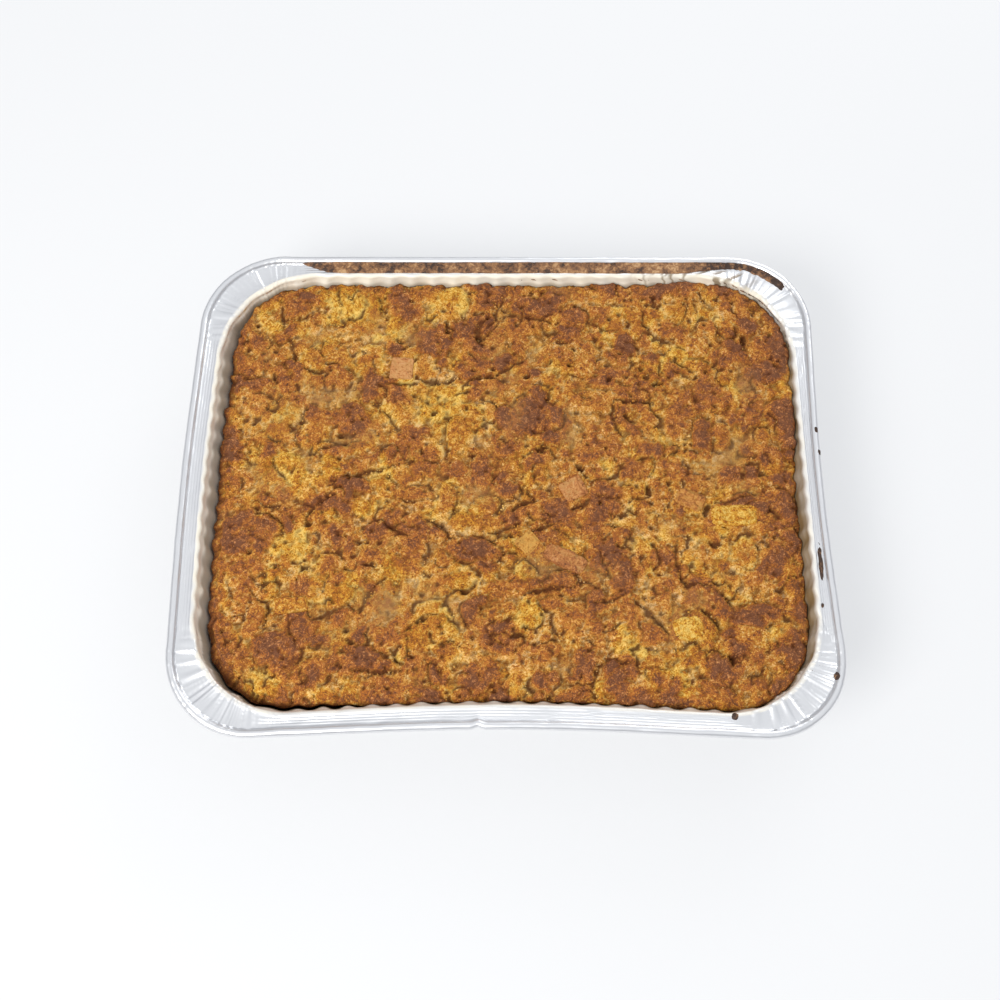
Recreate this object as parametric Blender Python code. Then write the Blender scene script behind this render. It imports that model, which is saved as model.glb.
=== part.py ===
"""A bread pudding baked and served in its half-size aluminium foil pan.

The pan is one sheet of foil: rolled bead, flat shelf, rounded lip, fluted wall and flat floor.
The pudding fills the pan and has drawn back a little from the wall along its top edge.
The bread pieces that stand out on the crust are solids of their own, each seated in a pocket.
Lengths are in metres, +Z is up, and the pan's front is its -Y side.
"""

import math
import random

import bmesh
import bpy
import numpy as np

# Pan
RIM_LENGTH = 0.32385
RIM_WIDTH = 0.26353
PAN_HEIGHT = 0.0556
RIM_CORNER = 0.0425
LIP_CORNER = 0.047
FLOOR_CORNER = 0.020
FOIL = 0.0007
BEAD_RADIUS = 0.0021
SHELF_DROP = 0.0020
LIP_INSET = 0.0127
WALL_SLOPE = math.tan(math.radians(16.0))
FLUTE_DEPTH = 0.0012
FLUTE_TOP = 0.0070
FLUTE_FOOT = 0.0050
LONG_FLUTES = 18
SHORT_FLUTES = 14
CORNER_STEPS = 8

# How far each side of the rim is bent out of line at its middle
LEFT_BULGE = 0.0023
RIGHT_DENT = 0.0030
FRONT_DENT = 0.0050
LIP_BEND = 0.25

# Pudding
GAP = 0.0003
SHRINK = 0.0020
EDGE_DROP = 0.0095
DOME_RISE = 0.0016
MOUND_HEIGHT = 0.0021
MOUND_SPACING = 0.021
TOP_LIMIT = PAN_HEIGHT - 0.0053
GRID_STEP = 0.0066

# Bread pieces: name, centre x, centre y, length, width, turn in degrees, edge rounding
BREAD_PIECES = [
    ("pale_bread_cube", -0.0553, 0.0661, 0.0120, 0.0125, -4.0, 0.0008),
    ("soft_bread_block", 0.0411, 0.0687, 0.0115, 0.0150, -6.0, 0.0022),
    ("tipped_bread_cube", 0.0334, -0.0025, 0.0125, 0.0110, 28.0, 0.0010),
    ("diamond_bread_cube", 0.0105, -0.0318, 0.0105, 0.0098, 42.0, 0.0009),
    ("long_bread_block", 0.0288, -0.0402, 0.0220, 0.0095, -27.0, 0.0018),
    ("ridged_bread_stick", -0.1051, -0.0644, 0.0165, 0.0085, 4.0, 0.0016),
    ("tan_bread_block", 0.0925, -0.0084, 0.0145, 0.0095, -24.0, 0.0010),
    ("golden_bread_block", 0.1140, -0.0170, 0.0235, 0.0115, 2.0, 0.0018),
    ("yellow_bread_knob", 0.0880, -0.0756, 0.0150, 0.0125, 6.0, 0.0027),
    ("orange_bread_block", 0.1169, -0.0785, 0.0135, 0.0085, -8.0, 0.0022),
    ("round_bread_knob", 0.1008, 0.0796, 0.0135, 0.0125, 0.0, 0.0027),
]
PIECE_SINK = 0.0045
PIECE_PROUD = 0.0014


def material(name, colour, roughness, metallic):
    """Return a Principled material of one colour."""
    made = bpy.data.materials.new(name)
    made.use_nodes = True
    shader = made.node_tree.nodes["Principled BSDF"]
    shader.inputs["Base Color"].default_value = (*colour, 1.0)
    shader.inputs["Roughness"].default_value = roughness
    shader.inputs["Metallic"].default_value = metallic
    made.diffuse_color = (*colour, 1.0)
    return made


def bent_outline(inset, corner, wave, bend):
    """Return a rounded rectangle as (x, y) points, odd ones stepped inwards, its sides bent."""
    half_x = RIM_LENGTH / 2.0 - inset
    half_y = RIM_WIDTH / 2.0 - inset
    run_x = half_x - corner
    run_y = half_y - corner
    ring = []
    for turn in range(4):
        angle = turn * math.pi / 2.0
        side_run, side_half, flutes = (run_y, half_x, SHORT_FLUTES)
        if turn % 2:
            side_run, side_half, flutes = (run_x, half_y, LONG_FLUTES)
        steps = 2 * flutes
        for step in range(steps):
            along = side_run * (2.0 * step / steps - 1.0)
            out = side_half - (wave if step % 2 else 0.0)
            ring.append((out * math.cos(angle) - along * math.sin(angle),
                         out * math.sin(angle) + along * math.cos(angle)))
        centre_x = run_x if turn in (0, 3) else -run_x
        centre_y = run_y if turn in (0, 1) else -run_y
        for step in range(CORNER_STEPS):
            sweep = angle + math.pi / 2.0 * step / CORNER_STEPS
            reach = corner - (wave if step % 2 else 0.0)
            ring.append((centre_x + reach * math.cos(sweep), centre_y + reach * math.sin(sweep)))
    bent = []
    for x, y in ring:
        across_y = math.cos(math.pi * min(1.0, abs(y) / half_y) / 2.0) ** 2
        across_x = math.cos(math.pi * min(1.0, abs(x) / half_x) / 2.0) ** 2
        move_x = -LEFT_BULGE * across_y if x < 0.0 else -RIGHT_DENT * across_y
        move_y = FRONT_DENT * across_x if y < 0.0 else 0.0
        bent.append((x + bend * move_x, y + bend * move_y))
    return bent


# The bent rim isn't symmetric, so the whole part is moved to put its box's centre on the origin
RIM_POINTS = np.array(bent_outline(0.0, RIM_CORNER, 0.0, 1.0))
MIDDLE_X, MIDDLE_Y = (RIM_POINTS.max(axis=0) + RIM_POINTS.min(axis=0)) / 2.0


def outline(inset, height, corner, wave=0.0, bend=1.0):
    """Return one ring round the pan at a height."""
    points = bent_outline(inset, corner, wave, bend)
    return [(x - MIDDLE_X, y - MIDDLE_Y, height) for x, y in points]


def wall_inset(height):
    """Return how far the wall's inner skin stands in from the rim's outer edge at a height."""
    return LIP_INSET + (PAN_HEIGHT - SHELF_DROP - 0.002 - height) * WALL_SLOPE


def wall_corner(height):
    """Return the corner radius at a height, in a straight line from the floor's to the lip's."""
    share = max(0.0, height / (PAN_HEIGHT - SHELF_DROP))
    return FLOOR_CORNER + (LIP_CORNER - FLOOR_CORNER) * share


def loft(name, rings, made_of):
    """Join rings of equal count into one closed solid, with a flat face at either end."""
    mesh = bpy.data.meshes.new(name)
    build = bmesh.new()
    rows = [[build.verts.new(point) for point in ring] for ring in rings]
    count = len(rows[0])
    for low, high in zip(rows, rows[1:]):
        for step in range(count):
            after = (step + 1) % count
            build.faces.new((low[step], low[after], high[after], high[step]))
    build.faces.new(rows[0])
    build.faces.new(rows[-1])
    bmesh.ops.recalc_face_normals(build, faces=build.faces)
    build.to_mesh(mesh)
    build.free()
    mesh.materials.append(made_of)
    body = bpy.data.objects.new(name, mesh)
    bpy.context.scene.collection.objects.link(body)
    return body


def pan_rings():
    """Return the foil's rings: floor, inner skin, bead and outer skin back to the underside."""
    lip_top = PAN_HEIGHT - SHELF_DROP
    lip_low = lip_top - 0.0020
    fade = lip_low - FLUTE_TOP
    foot_inset = wall_inset(FLUTE_FOOT)
    bead_z = PAN_HEIGHT - BEAD_RADIUS
    rings = [
        outline(foot_inset + 0.0050, FOIL, FLOOR_CORNER - 0.004, bend=0.0),
        outline(foot_inset + 0.0016, 0.0019, wall_corner(0.0), bend=0.0),
        outline(foot_inset, FLUTE_FOOT, wall_corner(FLUTE_FOOT), FLUTE_DEPTH, 0.0),
        outline(wall_inset(fade), fade, wall_corner(fade), FLUTE_DEPTH, LIP_BEND),
        outline(LIP_INSET + 0.0009, lip_low - 0.0030, LIP_CORNER, 0.0, LIP_BEND),
        outline(LIP_INSET - 0.0003, lip_top - 0.0010, LIP_CORNER, 0.0, LIP_BEND),
        outline(LIP_INSET - 0.0016, lip_top, LIP_CORNER + 0.0013, 0.0, LIP_BEND),
    ]
    for degrees in (8.0, 62.0, 118.0, 180.0, 242.0, 298.0, 340.0):
        angle = math.radians(degrees)
        inset = BEAD_RADIUS * (1.0 + math.cos(angle))
        rings.append(outline(inset, bead_z + BEAD_RADIUS * math.sin(angle), RIM_CORNER - inset))
    side = FOIL / math.cos(math.atan(WALL_SLOPE))
    rings += [
        outline(LIP_INSET - 0.0019, lip_top - FOIL, LIP_CORNER + 0.0016, 0.0, LIP_BEND),
        outline(LIP_INSET - side, lip_low - 0.0030, LIP_CORNER, 0.0, LIP_BEND),
        outline(wall_inset(fade) - side, fade, wall_corner(fade), FLUTE_DEPTH, LIP_BEND),
        outline(foot_inset - side, FLUTE_FOOT, wall_corner(FLUTE_FOOT), FLUTE_DEPTH, 0.0),
        outline(foot_inset + 0.0012, 0.0011, wall_corner(0.0), bend=0.0),
        outline(foot_inset + 0.0046, 0.0, FLOOR_CORNER - 0.004, bend=0.0),
    ]
    return rings


def block_rings():
    """Return the rings of the pudding's block, which stands a gap inside the pan's inner skin."""
    clear = GAP + 0.0002
    foot_inset = wall_inset(FLUTE_FOOT)
    middle = PAN_HEIGHT - EDGE_DROP - 0.012
    top = PAN_HEIGHT + 0.010
    return [
        outline(foot_inset + 0.0054, FOIL + GAP, FLOOR_CORNER - 0.004, bend=0.0),
        outline(foot_inset + 0.0026, 0.0030, wall_corner(0.0), bend=0.0),
        outline(foot_inset + clear, FLUTE_FOOT + 0.0002, wall_corner(FLUTE_FOOT), FLUTE_DEPTH, 0.0),
        outline(wall_inset(middle) + clear, middle, wall_corner(middle), FLUTE_DEPTH, 0.2),
        outline(wall_inset(top) + SHRINK + 0.0012, top, wall_corner(top), FLUTE_DEPTH, LIP_BEND),
    ]


def crust_height(x, y):
    """Return the crust's height: an edge level, a low dome, and mounds where bread pokes up."""
    x = x + MIDDLE_X
    y = y + MIDDLE_Y
    half_x = RIM_LENGTH / 2.0 - LIP_INSET
    half_y = RIM_WIDTH / 2.0 - LIP_INSET
    dome_x = 1.0 - np.clip(np.abs(x) / half_x, 0.0, 1.0) ** 3
    dome_y = 1.0 - np.clip(np.abs(y) / half_y, 0.0, 1.0) ** 3
    height = PAN_HEIGHT - EDGE_DROP + DOME_RISE * dome_x * dome_y
    chance = random.Random(7)
    columns = int(RIM_LENGTH / MOUND_SPACING) + 1
    rows = int(RIM_WIDTH / MOUND_SPACING) + 1
    for column in range(columns):
        for row in range(rows):
            at_x = (column - columns / 2.0 + chance.random()) * MOUND_SPACING
            at_y = (row - rows / 2.0 + chance.random()) * MOUND_SPACING
            long = MOUND_SPACING * chance.uniform(0.30, 0.55)
            wide = MOUND_SPACING * chance.uniform(0.25, 0.40)
            turn = chance.uniform(0.0, math.pi)
            rise = MOUND_HEIGHT * chance.uniform(-0.7, 1.0)
            along = ((x - at_x) * math.cos(turn) + (y - at_y) * math.sin(turn)) / long
            across = ((y - at_y) * math.cos(turn) - (x - at_x) * math.sin(turn)) / wide
            height = height + rise * np.exp(-(along ** 2 + across ** 2) ** 1.4)
    return np.minimum(height, TOP_LIMIT)


def crust_block(made_of):
    """Return a block wider than the pan whose upper side is the crust."""
    half_x = RIM_LENGTH / 2.0
    half_y = RIM_WIDTH / 2.0
    across = int(2.0 * half_x / GRID_STEP)
    deep = int(2.0 * half_y / GRID_STEP)
    build = bmesh.new()
    xs = np.linspace(-half_x, half_x, across + 1) + 0.00013
    ys = np.linspace(-half_y, half_y, deep + 1) + 0.00017
    top = []
    for y in ys:
        heights = crust_height(xs, y)
        top.append([build.verts.new((x, y, z)) for x, z in zip(xs, heights)])
    for row in range(deep):
        for step in range(across):
            build.faces.new((top[row][step], top[row][step + 1],
                             top[row + 1][step + 1], top[row + 1][step]))
    rim = top[0] + [line[-1] for line in top[1:-1]] + top[-1][::-1]
    rim += [line[0] for line in top[-2:0:-1]]
    low = [build.verts.new((vert.co.x, vert.co.y, -0.010)) for vert in rim]
    for step in range(len(rim)):
        after = (step + 1) % len(rim)
        build.faces.new((rim[after], rim[step], low[step], low[after]))
    build.faces.new(low[::-1])
    bmesh.ops.triangulate(build, faces=build.faces)
    bmesh.ops.recalc_face_normals(build, faces=build.faces)
    mesh = bpy.data.meshes.new("crust_cutter")
    build.to_mesh(mesh)
    build.free()
    mesh.materials.append(made_of)
    body = bpy.data.objects.new("crust_cutter", mesh)
    bpy.context.scene.collection.objects.link(body)
    hide(body)
    return body


def hide(body):
    """Keep a cutter out of the finished model."""
    body.hide_render = True
    body.display_type = "WIRE"


def apply_boolean(body, cutter, operation):
    """Add an exact Boolean of one cutter to a body."""
    step = body.modifiers.new(cutter.name, "BOOLEAN")
    step.operation = operation
    step.solver = "EXACT"
    step.object = cutter


def box(name, place, size, turn, made_of):
    """Return an upright box standing on place, turned about the vertical."""
    build = bmesh.new()
    bmesh.ops.create_cube(build, size=1.0)
    for vert in build.verts:
        vert.co = (vert.co.x * size[0], vert.co.y * size[1], (vert.co.z + 0.5) * size[2])
    mesh = bpy.data.meshes.new(name)
    build.to_mesh(mesh)
    build.free()
    mesh.materials.append(made_of)
    body = bpy.data.objects.new(name, mesh)
    body.location = place
    body.rotation_euler = (0.0, 0.0, math.radians(turn))
    bpy.context.scene.collection.objects.link(body)
    return body


def bread_piece(spec, pudding, made_of):
    """Seat one rounded bread piece in a pocket cut into the crust."""
    name, x, y, length, width, turn, rounding = spec
    x -= MIDDLE_X
    y -= MIDDLE_Y
    surface = float(crust_height(np.array([x]), y)[0])
    top = min(surface + PIECE_PROUD, TOP_LIMIT + 0.0002)
    foot = surface - PIECE_SINK
    piece = box(name, (x, y, foot), (length, width, top - foot), turn, made_of)
    bevel = piece.modifiers.new("rounding", "BEVEL")
    bevel.width = rounding
    bevel.segments = 2
    bevel.limit_method = "ANGLE"
    for face in piece.data.polygons:
        face.use_smooth = rounding > 0.0025
    pocket_size = (length + 2.0 * GAP, width + 2.0 * GAP, 0.030)
    pocket = box("pocket_" + name, (x, y, foot - GAP), pocket_size, turn, made_of)
    hide(pocket)
    apply_boolean(pudding, pocket, "DIFFERENCE")
    return piece


for leftover in list(bpy.data.objects):
    bpy.data.objects.remove(leftover, do_unlink=True)

foil = material("aluminium_foil", (0.80, 0.81, 0.83), 0.28, 1.0)
crust = material("baked_pudding", (0.39, 0.17, 0.045), 0.75, 0.0)
bread = material("toasted_bread", (0.58, 0.32, 0.12), 0.70, 0.0)

loft("foil_pan", pan_rings(), foil)
pudding_body = loft("pudding", block_rings(), crust)
apply_boolean(pudding_body, crust_block(crust), "INTERSECT")
for piece_spec in BREAD_PIECES:
    bread_piece(piece_spec, pudding_body, bread)
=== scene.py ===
# %% [markdown]
# # A bread pudding in its foil pan
#
# The real thing is a disposable aluminium pan, about 324 by 264 mm, full of bread and custard that
# have baked into one rough, mottled crust. This notebook dresses a plain engineering model of it:
# each plain solid is swapped for a detailed surface of the same size in the same place.
#
# Shapes are worked out in millimetres with numpy and turned into metres when a mesh is made.

# %% Load the frame
import itertools
import math
import bpy
import numpy as np
from mathutils import Euler, Matrix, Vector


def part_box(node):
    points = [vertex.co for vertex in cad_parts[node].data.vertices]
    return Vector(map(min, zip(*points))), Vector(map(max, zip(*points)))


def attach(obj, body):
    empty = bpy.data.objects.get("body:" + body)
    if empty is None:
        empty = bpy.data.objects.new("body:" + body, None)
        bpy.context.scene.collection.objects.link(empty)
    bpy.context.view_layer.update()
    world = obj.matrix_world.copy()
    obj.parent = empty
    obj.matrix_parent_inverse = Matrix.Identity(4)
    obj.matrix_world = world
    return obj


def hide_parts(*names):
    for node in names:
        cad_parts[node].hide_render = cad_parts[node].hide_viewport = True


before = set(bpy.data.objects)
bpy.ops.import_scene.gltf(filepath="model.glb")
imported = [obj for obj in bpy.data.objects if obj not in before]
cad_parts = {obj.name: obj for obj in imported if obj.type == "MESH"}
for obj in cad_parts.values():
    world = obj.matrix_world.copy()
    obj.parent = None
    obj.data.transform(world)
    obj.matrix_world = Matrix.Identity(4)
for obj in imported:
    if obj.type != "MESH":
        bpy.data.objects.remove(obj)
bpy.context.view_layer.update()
pan_low, pan_high = (np.array(corner) * 1000.0 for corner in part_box("foil_pan"))
print("pan box in mm:", pan_low.round(1), pan_high.round(1))

# %% [markdown]
# ## Two helpers for meshes
#
# Every surface below is a grid: rows of points, each row as long as the next. One helper numbers
# the four corners of each cell, and the other pours points and faces into a mesh in one go, which
# is far quicker than adding vertices one at a time.

# %% Helpers: grids and meshes
def grid_faces(rows, columns, closed_rows=False, closed_columns=False, start=0):
    """Return each cell's four corner numbers: (row, column), next column, next row and column."""
    row = np.arange(rows if closed_rows else rows - 1)[:, None]
    column = np.arange(columns if closed_columns else columns - 1)[None, :]
    next_row, next_column = (row + 1) % rows, (column + 1) % columns
    corners = [row * columns + column, row * columns + next_column,
               next_row * columns + next_column, next_row * columns + column]
    return start + np.stack([c + np.zeros_like(row * column) for c in corners], -1).reshape(-1, 4)


def fan_faces(ring, hub, outward=True):
    """Return triangles that close a ring of point numbers onto one hub point."""
    after = np.roll(ring, -1)
    order = [ring, after] if outward else [after, ring]
    return np.stack(order + [np.full(len(ring), hub)], axis=1)


def make_piece(name, points, face_sets, finish, slot, node=None):
    """Pour points in mm and faces into a smooth mesh, and hang it on the frame."""
    mesh = bpy.data.meshes.new(name)
    corners = np.concatenate([faces.ravel() for faces in face_sets]).astype(np.int32)
    sizes = np.concatenate([np.full(len(faces), faces.shape[1]) for faces in face_sets])
    starts = np.concatenate([[0], np.cumsum(sizes)[:-1]]).astype(np.int32)
    mesh.vertices.add(len(points))
    mesh.vertices.foreach_set("co", (points * 0.001).astype(np.float32).ravel())
    mesh.loops.add(len(corners))
    mesh.loops.foreach_set("vertex_index", corners)
    mesh.polygons.add(len(sizes))
    mesh.polygons.foreach_set("loop_start", starts)
    mesh.polygons.foreach_set("use_smooth", np.ones(len(sizes), dtype=bool))
    mesh.update(calc_edges=True)
    mesh.validate()
    mesh.materials.append(finish)
    piece = bpy.data.objects.new(name, mesh)
    bpy.context.scene.collection.objects.link(piece)
    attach(piece, "root")
    if node:
        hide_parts(node)
    print(f"{name}: {len(points)} points, {int((sizes - 2).sum())} triangles")
    return piece


def paint(piece, **layers):
    """Store numbers per point, which a material reads back by name. One number covers a piece."""
    for name, values in layers.items():
        numbers = np.empty(len(piece.data.vertices), dtype=np.float32)
        numbers[:] = np.ravel(values)
        layer = piece.data.attributes.new(name, "FLOAT", "POINT")
        layer.data.foreach_set("value", numbers)


# %% [markdown]
# ## Unevenness
#
# Baked food and thin foil are uneven at every scale. *Value noise* is the simplest way to get it:
# random numbers on a coarse lattice, blended smoothly in between. *Cell noise* is the distance to
# the nearest of many scattered points, which is just what holes in bread look like.

# %% Helpers: noise
def blend(low, high, value):
    """Rise smoothly from 0 at low to 1 at high: 3t squared minus 2t cubed."""
    t = np.clip((value - low) / (high - low), 0.0, 1.0)
    return t * t * (3.0 - 2.0 * t)


def value_noise(x, y, size, seed):
    """Blend random numbers on a square lattice of one size by the smoothstep of the distance."""
    lattice = np.random.default_rng(seed).random((128, 128))
    u, v = x / size + 400.0, y / size + 400.0
    i, j = np.floor(u).astype(int), np.floor(v).astype(int)
    f, g = u - i, v - j
    f, g = f * f * (3.0 - 2.0 * f), g * g * (3.0 - 2.0 * g)
    i0, j0, i1, j1 = i % 128, j % 128, (i + 1) % 128, (j + 1) % 128
    near = lattice[i0, j0] * (1.0 - f) + lattice[i1, j0] * f
    far = lattice[i0, j1] * (1.0 - f) + lattice[i1, j1] * f
    return near * (1.0 - g) + far * g


def rough_noise(x, y, size, seed, layers=3):
    """Add layers of value noise, each half the size and 0.6 of the strength, centred on zero."""
    total, weight = 0.0, 0.0
    for layer in range(layers):
        share = 0.6 ** layer
        turn = 0.7 + layer
        across = x * math.cos(turn) - y * math.sin(turn)
        along = x * math.sin(turn) + y * math.cos(turn)
        total = total + share * value_noise(across, along, size / 2.0 ** layer, seed + layer)
        weight += share
    return total / weight - 0.5


def cell_noise(x, y, size, seed):
    """Return the distance to the nearest of one random point per cell, and that cell's number."""
    places = np.random.default_rng(seed).random((128, 128, 3))
    i, j = np.floor(x / size).astype(int), np.floor(y / size).astype(int)
    best, chance = np.full(x.shape, 1e9), np.zeros(x.shape)
    for step_i in (-1, 0, 1):
        for step_j in (-1, 0, 1):
            spot = places[(i + step_i) % 128, (j + step_j) % 128]
            away = np.hypot((i + step_i + spot[..., 0]) * size - x,
                            (j + step_j + spot[..., 1]) * size - y)
            nearer = away < best
            best, chance = np.where(nearer, away, best), np.where(nearer, spot[..., 2], chance)
    return best, chance


print("noise at five spots:", rough_noise(np.arange(5.0), np.zeros(5), 3.0, 1).round(2))

# %% [markdown]
# ## Round the pan
#
# Pan and pudding share one outline, a rectangle with round corners. Stepping round it, each point
# has a corner centre, which slides along the straight sides, and a direction that it looks out in.
# With those kept as arrays, any ring (wider, lower, rounder) is one line of arithmetic.
#
# The wall of such a pan is pressed into upright flutes, which stiffen thin foil. They're counted
# along the outline too: each flute is two steps long, and a corner takes eight.

# %% The outline
RIM_LENGTH, RIM_WIDTH, PAN_HEIGHT = 323.85, 263.53, 55.6
RIM_CORNER, LIP_CORNER, FLOOR_CORNER = 42.5, 47.0, 20.0
LIP_INSET, SHELF_DROP, BEAD = 12.7, 2.0, 2.1
WALL_SLOPE = math.tan(math.radians(16.0))
LEFT_BULGE, RIGHT_DENT, FRONT_DENT, LIP_BEND = 2.3, 3.0, 5.0, 0.25
NOTCH_X = -13.4
SIDE_STEPS = (28, 36, 28, 36)
CORNER_STEPS = 8


def round_the_pan(side_detail, corner_detail):
    """Return each point's corner-centre signs, outward angle and flute steps.

    A side's centre slides from one corner to the next while the angle rests; at a corner the
    centre rests while the angle turns by a quarter.
    """
    centre_x, centre_y, angle, steps = [], [], [], []
    signs = [(1, -1), (1, 1), (-1, 1), (-1, -1), (1, -1)]
    counted = 0.0
    for side, length in enumerate(SIDE_STEPS):
        t = np.arange(length * side_detail) / (length * side_detail)
        (from_x, from_y), (to_x, to_y) = signs[side], signs[side + 1]
        centre_x += [from_x + (to_x - from_x) * t, np.full(CORNER_STEPS * corner_detail, to_x)]
        centre_y += [from_y + (to_y - from_y) * t, np.full(CORNER_STEPS * corner_detail, to_y)]
        turn = np.arange(CORNER_STEPS * corner_detail) / (CORNER_STEPS * corner_detail)
        angle += [np.full(len(t), side * math.pi / 2), (side + turn) * math.pi / 2]
        steps += [counted + length * t, counted + length + CORNER_STEPS * turn]
        counted += length + CORNER_STEPS
    return [np.concatenate(part) for part in (centre_x, centre_y, angle, steps)]


def place_ring(path, inset, corner, bend):
    """Return x and y: the corner centre, plus the corner radius along the outward angle.

    Each bent side moves by its dent times a cosine squared that is 0 at the corners. At the left
    and the front the lip moves with the rim; at the right the rim alone is pushed in.
    """
    centre_x, centre_y, angle = path[:3]
    half_x, half_y = RIM_LENGTH / 2 - inset, RIM_WIDTH / 2 - inset
    x = centre_x * (half_x - corner) + corner * np.cos(angle)
    y = centre_y * (half_y - corner) + corner * np.sin(angle)
    across_y = np.cos(math.pi / 2 * np.minimum(1.0, np.abs(y) / half_y)) ** 2
    across_x = np.cos(math.pi / 2 * np.minimum(1.0, np.abs(x) / half_x)) ** 2
    with_lip = np.minimum(1.0, bend / LIP_BEND)
    rim_only = np.clip((bend - LIP_BEND) / (1.0 - LIP_BEND), 0.0, 1.0)
    notch = 1.2 * rim_only ** 2 * np.exp(-((x - NOTCH_X) / 2.0) ** 2)
    x = x - np.where(x < 0, LEFT_BULGE * with_lip, RIGHT_DENT * rim_only) * across_y
    y = y + np.where(y < 0, FRONT_DENT * with_lip * across_x + notch, 0.0)
    return x, y


coarse = round_the_pan(1, 1)
rim_x, rim_y = place_ring(coarse, 0.0, RIM_CORNER, 1.0)
MIDDLE_X, MIDDLE_Y = (rim_x.max() + rim_x.min()) / 2, (rim_y.max() + rim_y.min()) / 2
print("the bent rim's middle, in mm:", round(MIDDLE_X, 2), round(MIDDLE_Y, 2))


def wall_inset(z):
    """Return how far in from the rim's edge the wall's inner skin stands at a height."""
    return LIP_INSET + (PAN_HEIGHT - SHELF_DROP - 2.0 - z) * WALL_SLOPE


def wall_corner(z):
    """Return the wall's corner radius, which grows from the floor's to the lip's."""
    share = np.clip(z / (PAN_HEIGHT - SHELF_DROP), 0.0, 1.0)
    return FLOOR_CORNER + (LIP_CORNER - FLOOR_CORNER) * share

# %% [markdown]
# ## Colours and shared effects
#
# Colours are easiest to choose as the 0 to 255 values a screen shows, but a renderer works in
# linear light, so one helper converts them.
#
# Effects that several finishes share are *node groups*. A group is built once, with named inputs,
# and each finish sets its own values. Here one group gives the sandy grain of crumb, one turns
# how well a spot is baked into a colour, with painted highlight and shade on the grain and painted
# shade in low places, and one gives the fine creases of handled foil.

# %% Helpers: colours and nodes
def screen(red, green, blue):
    """Turn 0-255 screen values into linear light."""
    value = np.array([red, green, blue]) / 255.0
    linear = np.where(value <= 0.04045, value / 12.92, ((value + 0.055) / 1.055) ** 2.4)
    return (*linear.tolist(), 1.0)


def add(tree, kind, **settings):
    """Add a node and set its plain properties. Nodes are laid out eight to a row."""
    node = tree.nodes.new(kind)
    node.location = (len(tree.nodes) % 8 * 220, len(tree.nodes) // 8 * -300)
    for key, value in settings.items():
        setattr(node, key, value)
    return node


def feed(tree, node, values):
    """Give a node's inputs, by name or number, a plain value or another node's output each."""
    for label, value in values.items():
        if isinstance(value, bpy.types.NodeSocket):
            tree.links.new(value, node.inputs[label])
        else:
            node.inputs[label].default_value = value
    return node


def maths(tree, operation, first, second, clamp=False):
    """Do one piece of arithmetic on two values."""
    node = add(tree, "ShaderNodeMath", operation=operation, use_clamp=clamp)
    return feed(tree, node, {0: first, 1: second}).outputs[0]


def mix(tree, amount, first, second, how="MIX"):
    """Blend two colours by an amount."""
    node = add(tree, "ShaderNodeMix", data_type="RGBA", blend_type=how)
    return feed(tree, node, {0: amount, 6: first, 7: second}).outputs[2]


def ramp(tree, value, low, high):
    """Go smoothly from 0 to 1 as a value goes from low to high."""
    node = add(tree, "ShaderNodeMapRange", interpolation_type="SMOOTHSTEP")
    return feed(tree, node, {"Value": value, "From Min": low, "From Max": high}).outputs["Result"]


def noise(tree, vector, scale, detail, rough, curl=0.0):
    """Read a noise texture."""
    return feed(tree, add(tree, "ShaderNodeTexNoise"),
                {"Vector": vector, "Scale": scale, "Detail": detail, "Roughness": rough,
                 "Distortion": curl}).outputs["Fac"]


def new_group(name, inputs, outputs):
    """Start a node group. Inputs are name: (kind, value) and outputs are names of numbers."""
    group = bpy.data.node_groups.new(name, "ShaderNodeTree")
    for label, (kind, value) in inputs.items():
        socket = group.interface.new_socket(label, in_out="INPUT", socket_type="NodeSocket" + kind)
        if value is not None:
            socket.default_value = value
    for label in outputs:
        kind = "NodeSocketColor" if label == "Color" else "NodeSocketFloat"
        group.interface.new_socket(label, in_out="OUTPUT", socket_type=kind)
    return group, add(group, "NodeGroupInput").outputs, add(group, "NodeGroupOutput")


def use_group(tree, group, values):
    """Place a group in a material with its own values and links, and return its outputs."""
    return feed(tree, add(tree, "ShaderNodeGroup", node_tree=group), values).outputs


print("middle grey in linear light:", round(screen(128, 128, 128)[0], 3))

# %% [markdown]
# ## The group for crumb grain
#
# Bread crumb is sandy: grains of a millimetre and clumps of two or three. Two noise textures, one
# finer than the other and both curled by distortion, are added. Their bright tips are flecks, partly
# a painted highlight where crumb tips catch the light, and their dark ends are pores, painted shade,
# so grain, flecks, pores and relief all agree with one another.

# %% Group: crumb grain
crumb_grain, given, out = new_group(
    "crumb_grain",
    {"Vector": ("Vector", None), "Grain Scale": ("Float", 900.0), "Curl": ("Float", 1.2)},
    ("Grain", "Flecks", "Pores", "Height"))
wide_scale = maths(crumb_grain, "MULTIPLY", given["Grain Scale"], 0.42)
fine = noise(crumb_grain, given["Vector"], given["Grain Scale"], 3.0, 0.62, given["Curl"])
wide = noise(crumb_grain, given["Vector"], wide_scale, 2.0, 0.55, given["Curl"])
grain = maths(crumb_grain, "ADD", maths(crumb_grain, "MULTIPLY", fine, 0.6),
              maths(crumb_grain, "MULTIPLY", wide, 0.4))
# Flecks on the tips are partly a painted highlight; pores in the low ends are painted shade.
feed(crumb_grain, out, {"Grain": grain, "Flecks": ramp(crumb_grain, grain, 0.53, 0.66),
                        "Pores": ramp(crumb_grain, grain, 0.45, 0.36), "Height": grain})
print("crumb grain nodes:", len(crumb_grain.nodes))

# %% [markdown]
# ## The group for baked colour
#
# Custard and crumb go from pale through golden and brown to scorched as they bake. The grain shifts
# how baked a spot is, so that its tips stay paler than the gaps between them, which is partly painted
# light and shade on the grain's relief, and four colours are blended along that number. A dry crust
# shows light flecks, partly a painted highlight, and low places are painted dark as painted shade.

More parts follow.
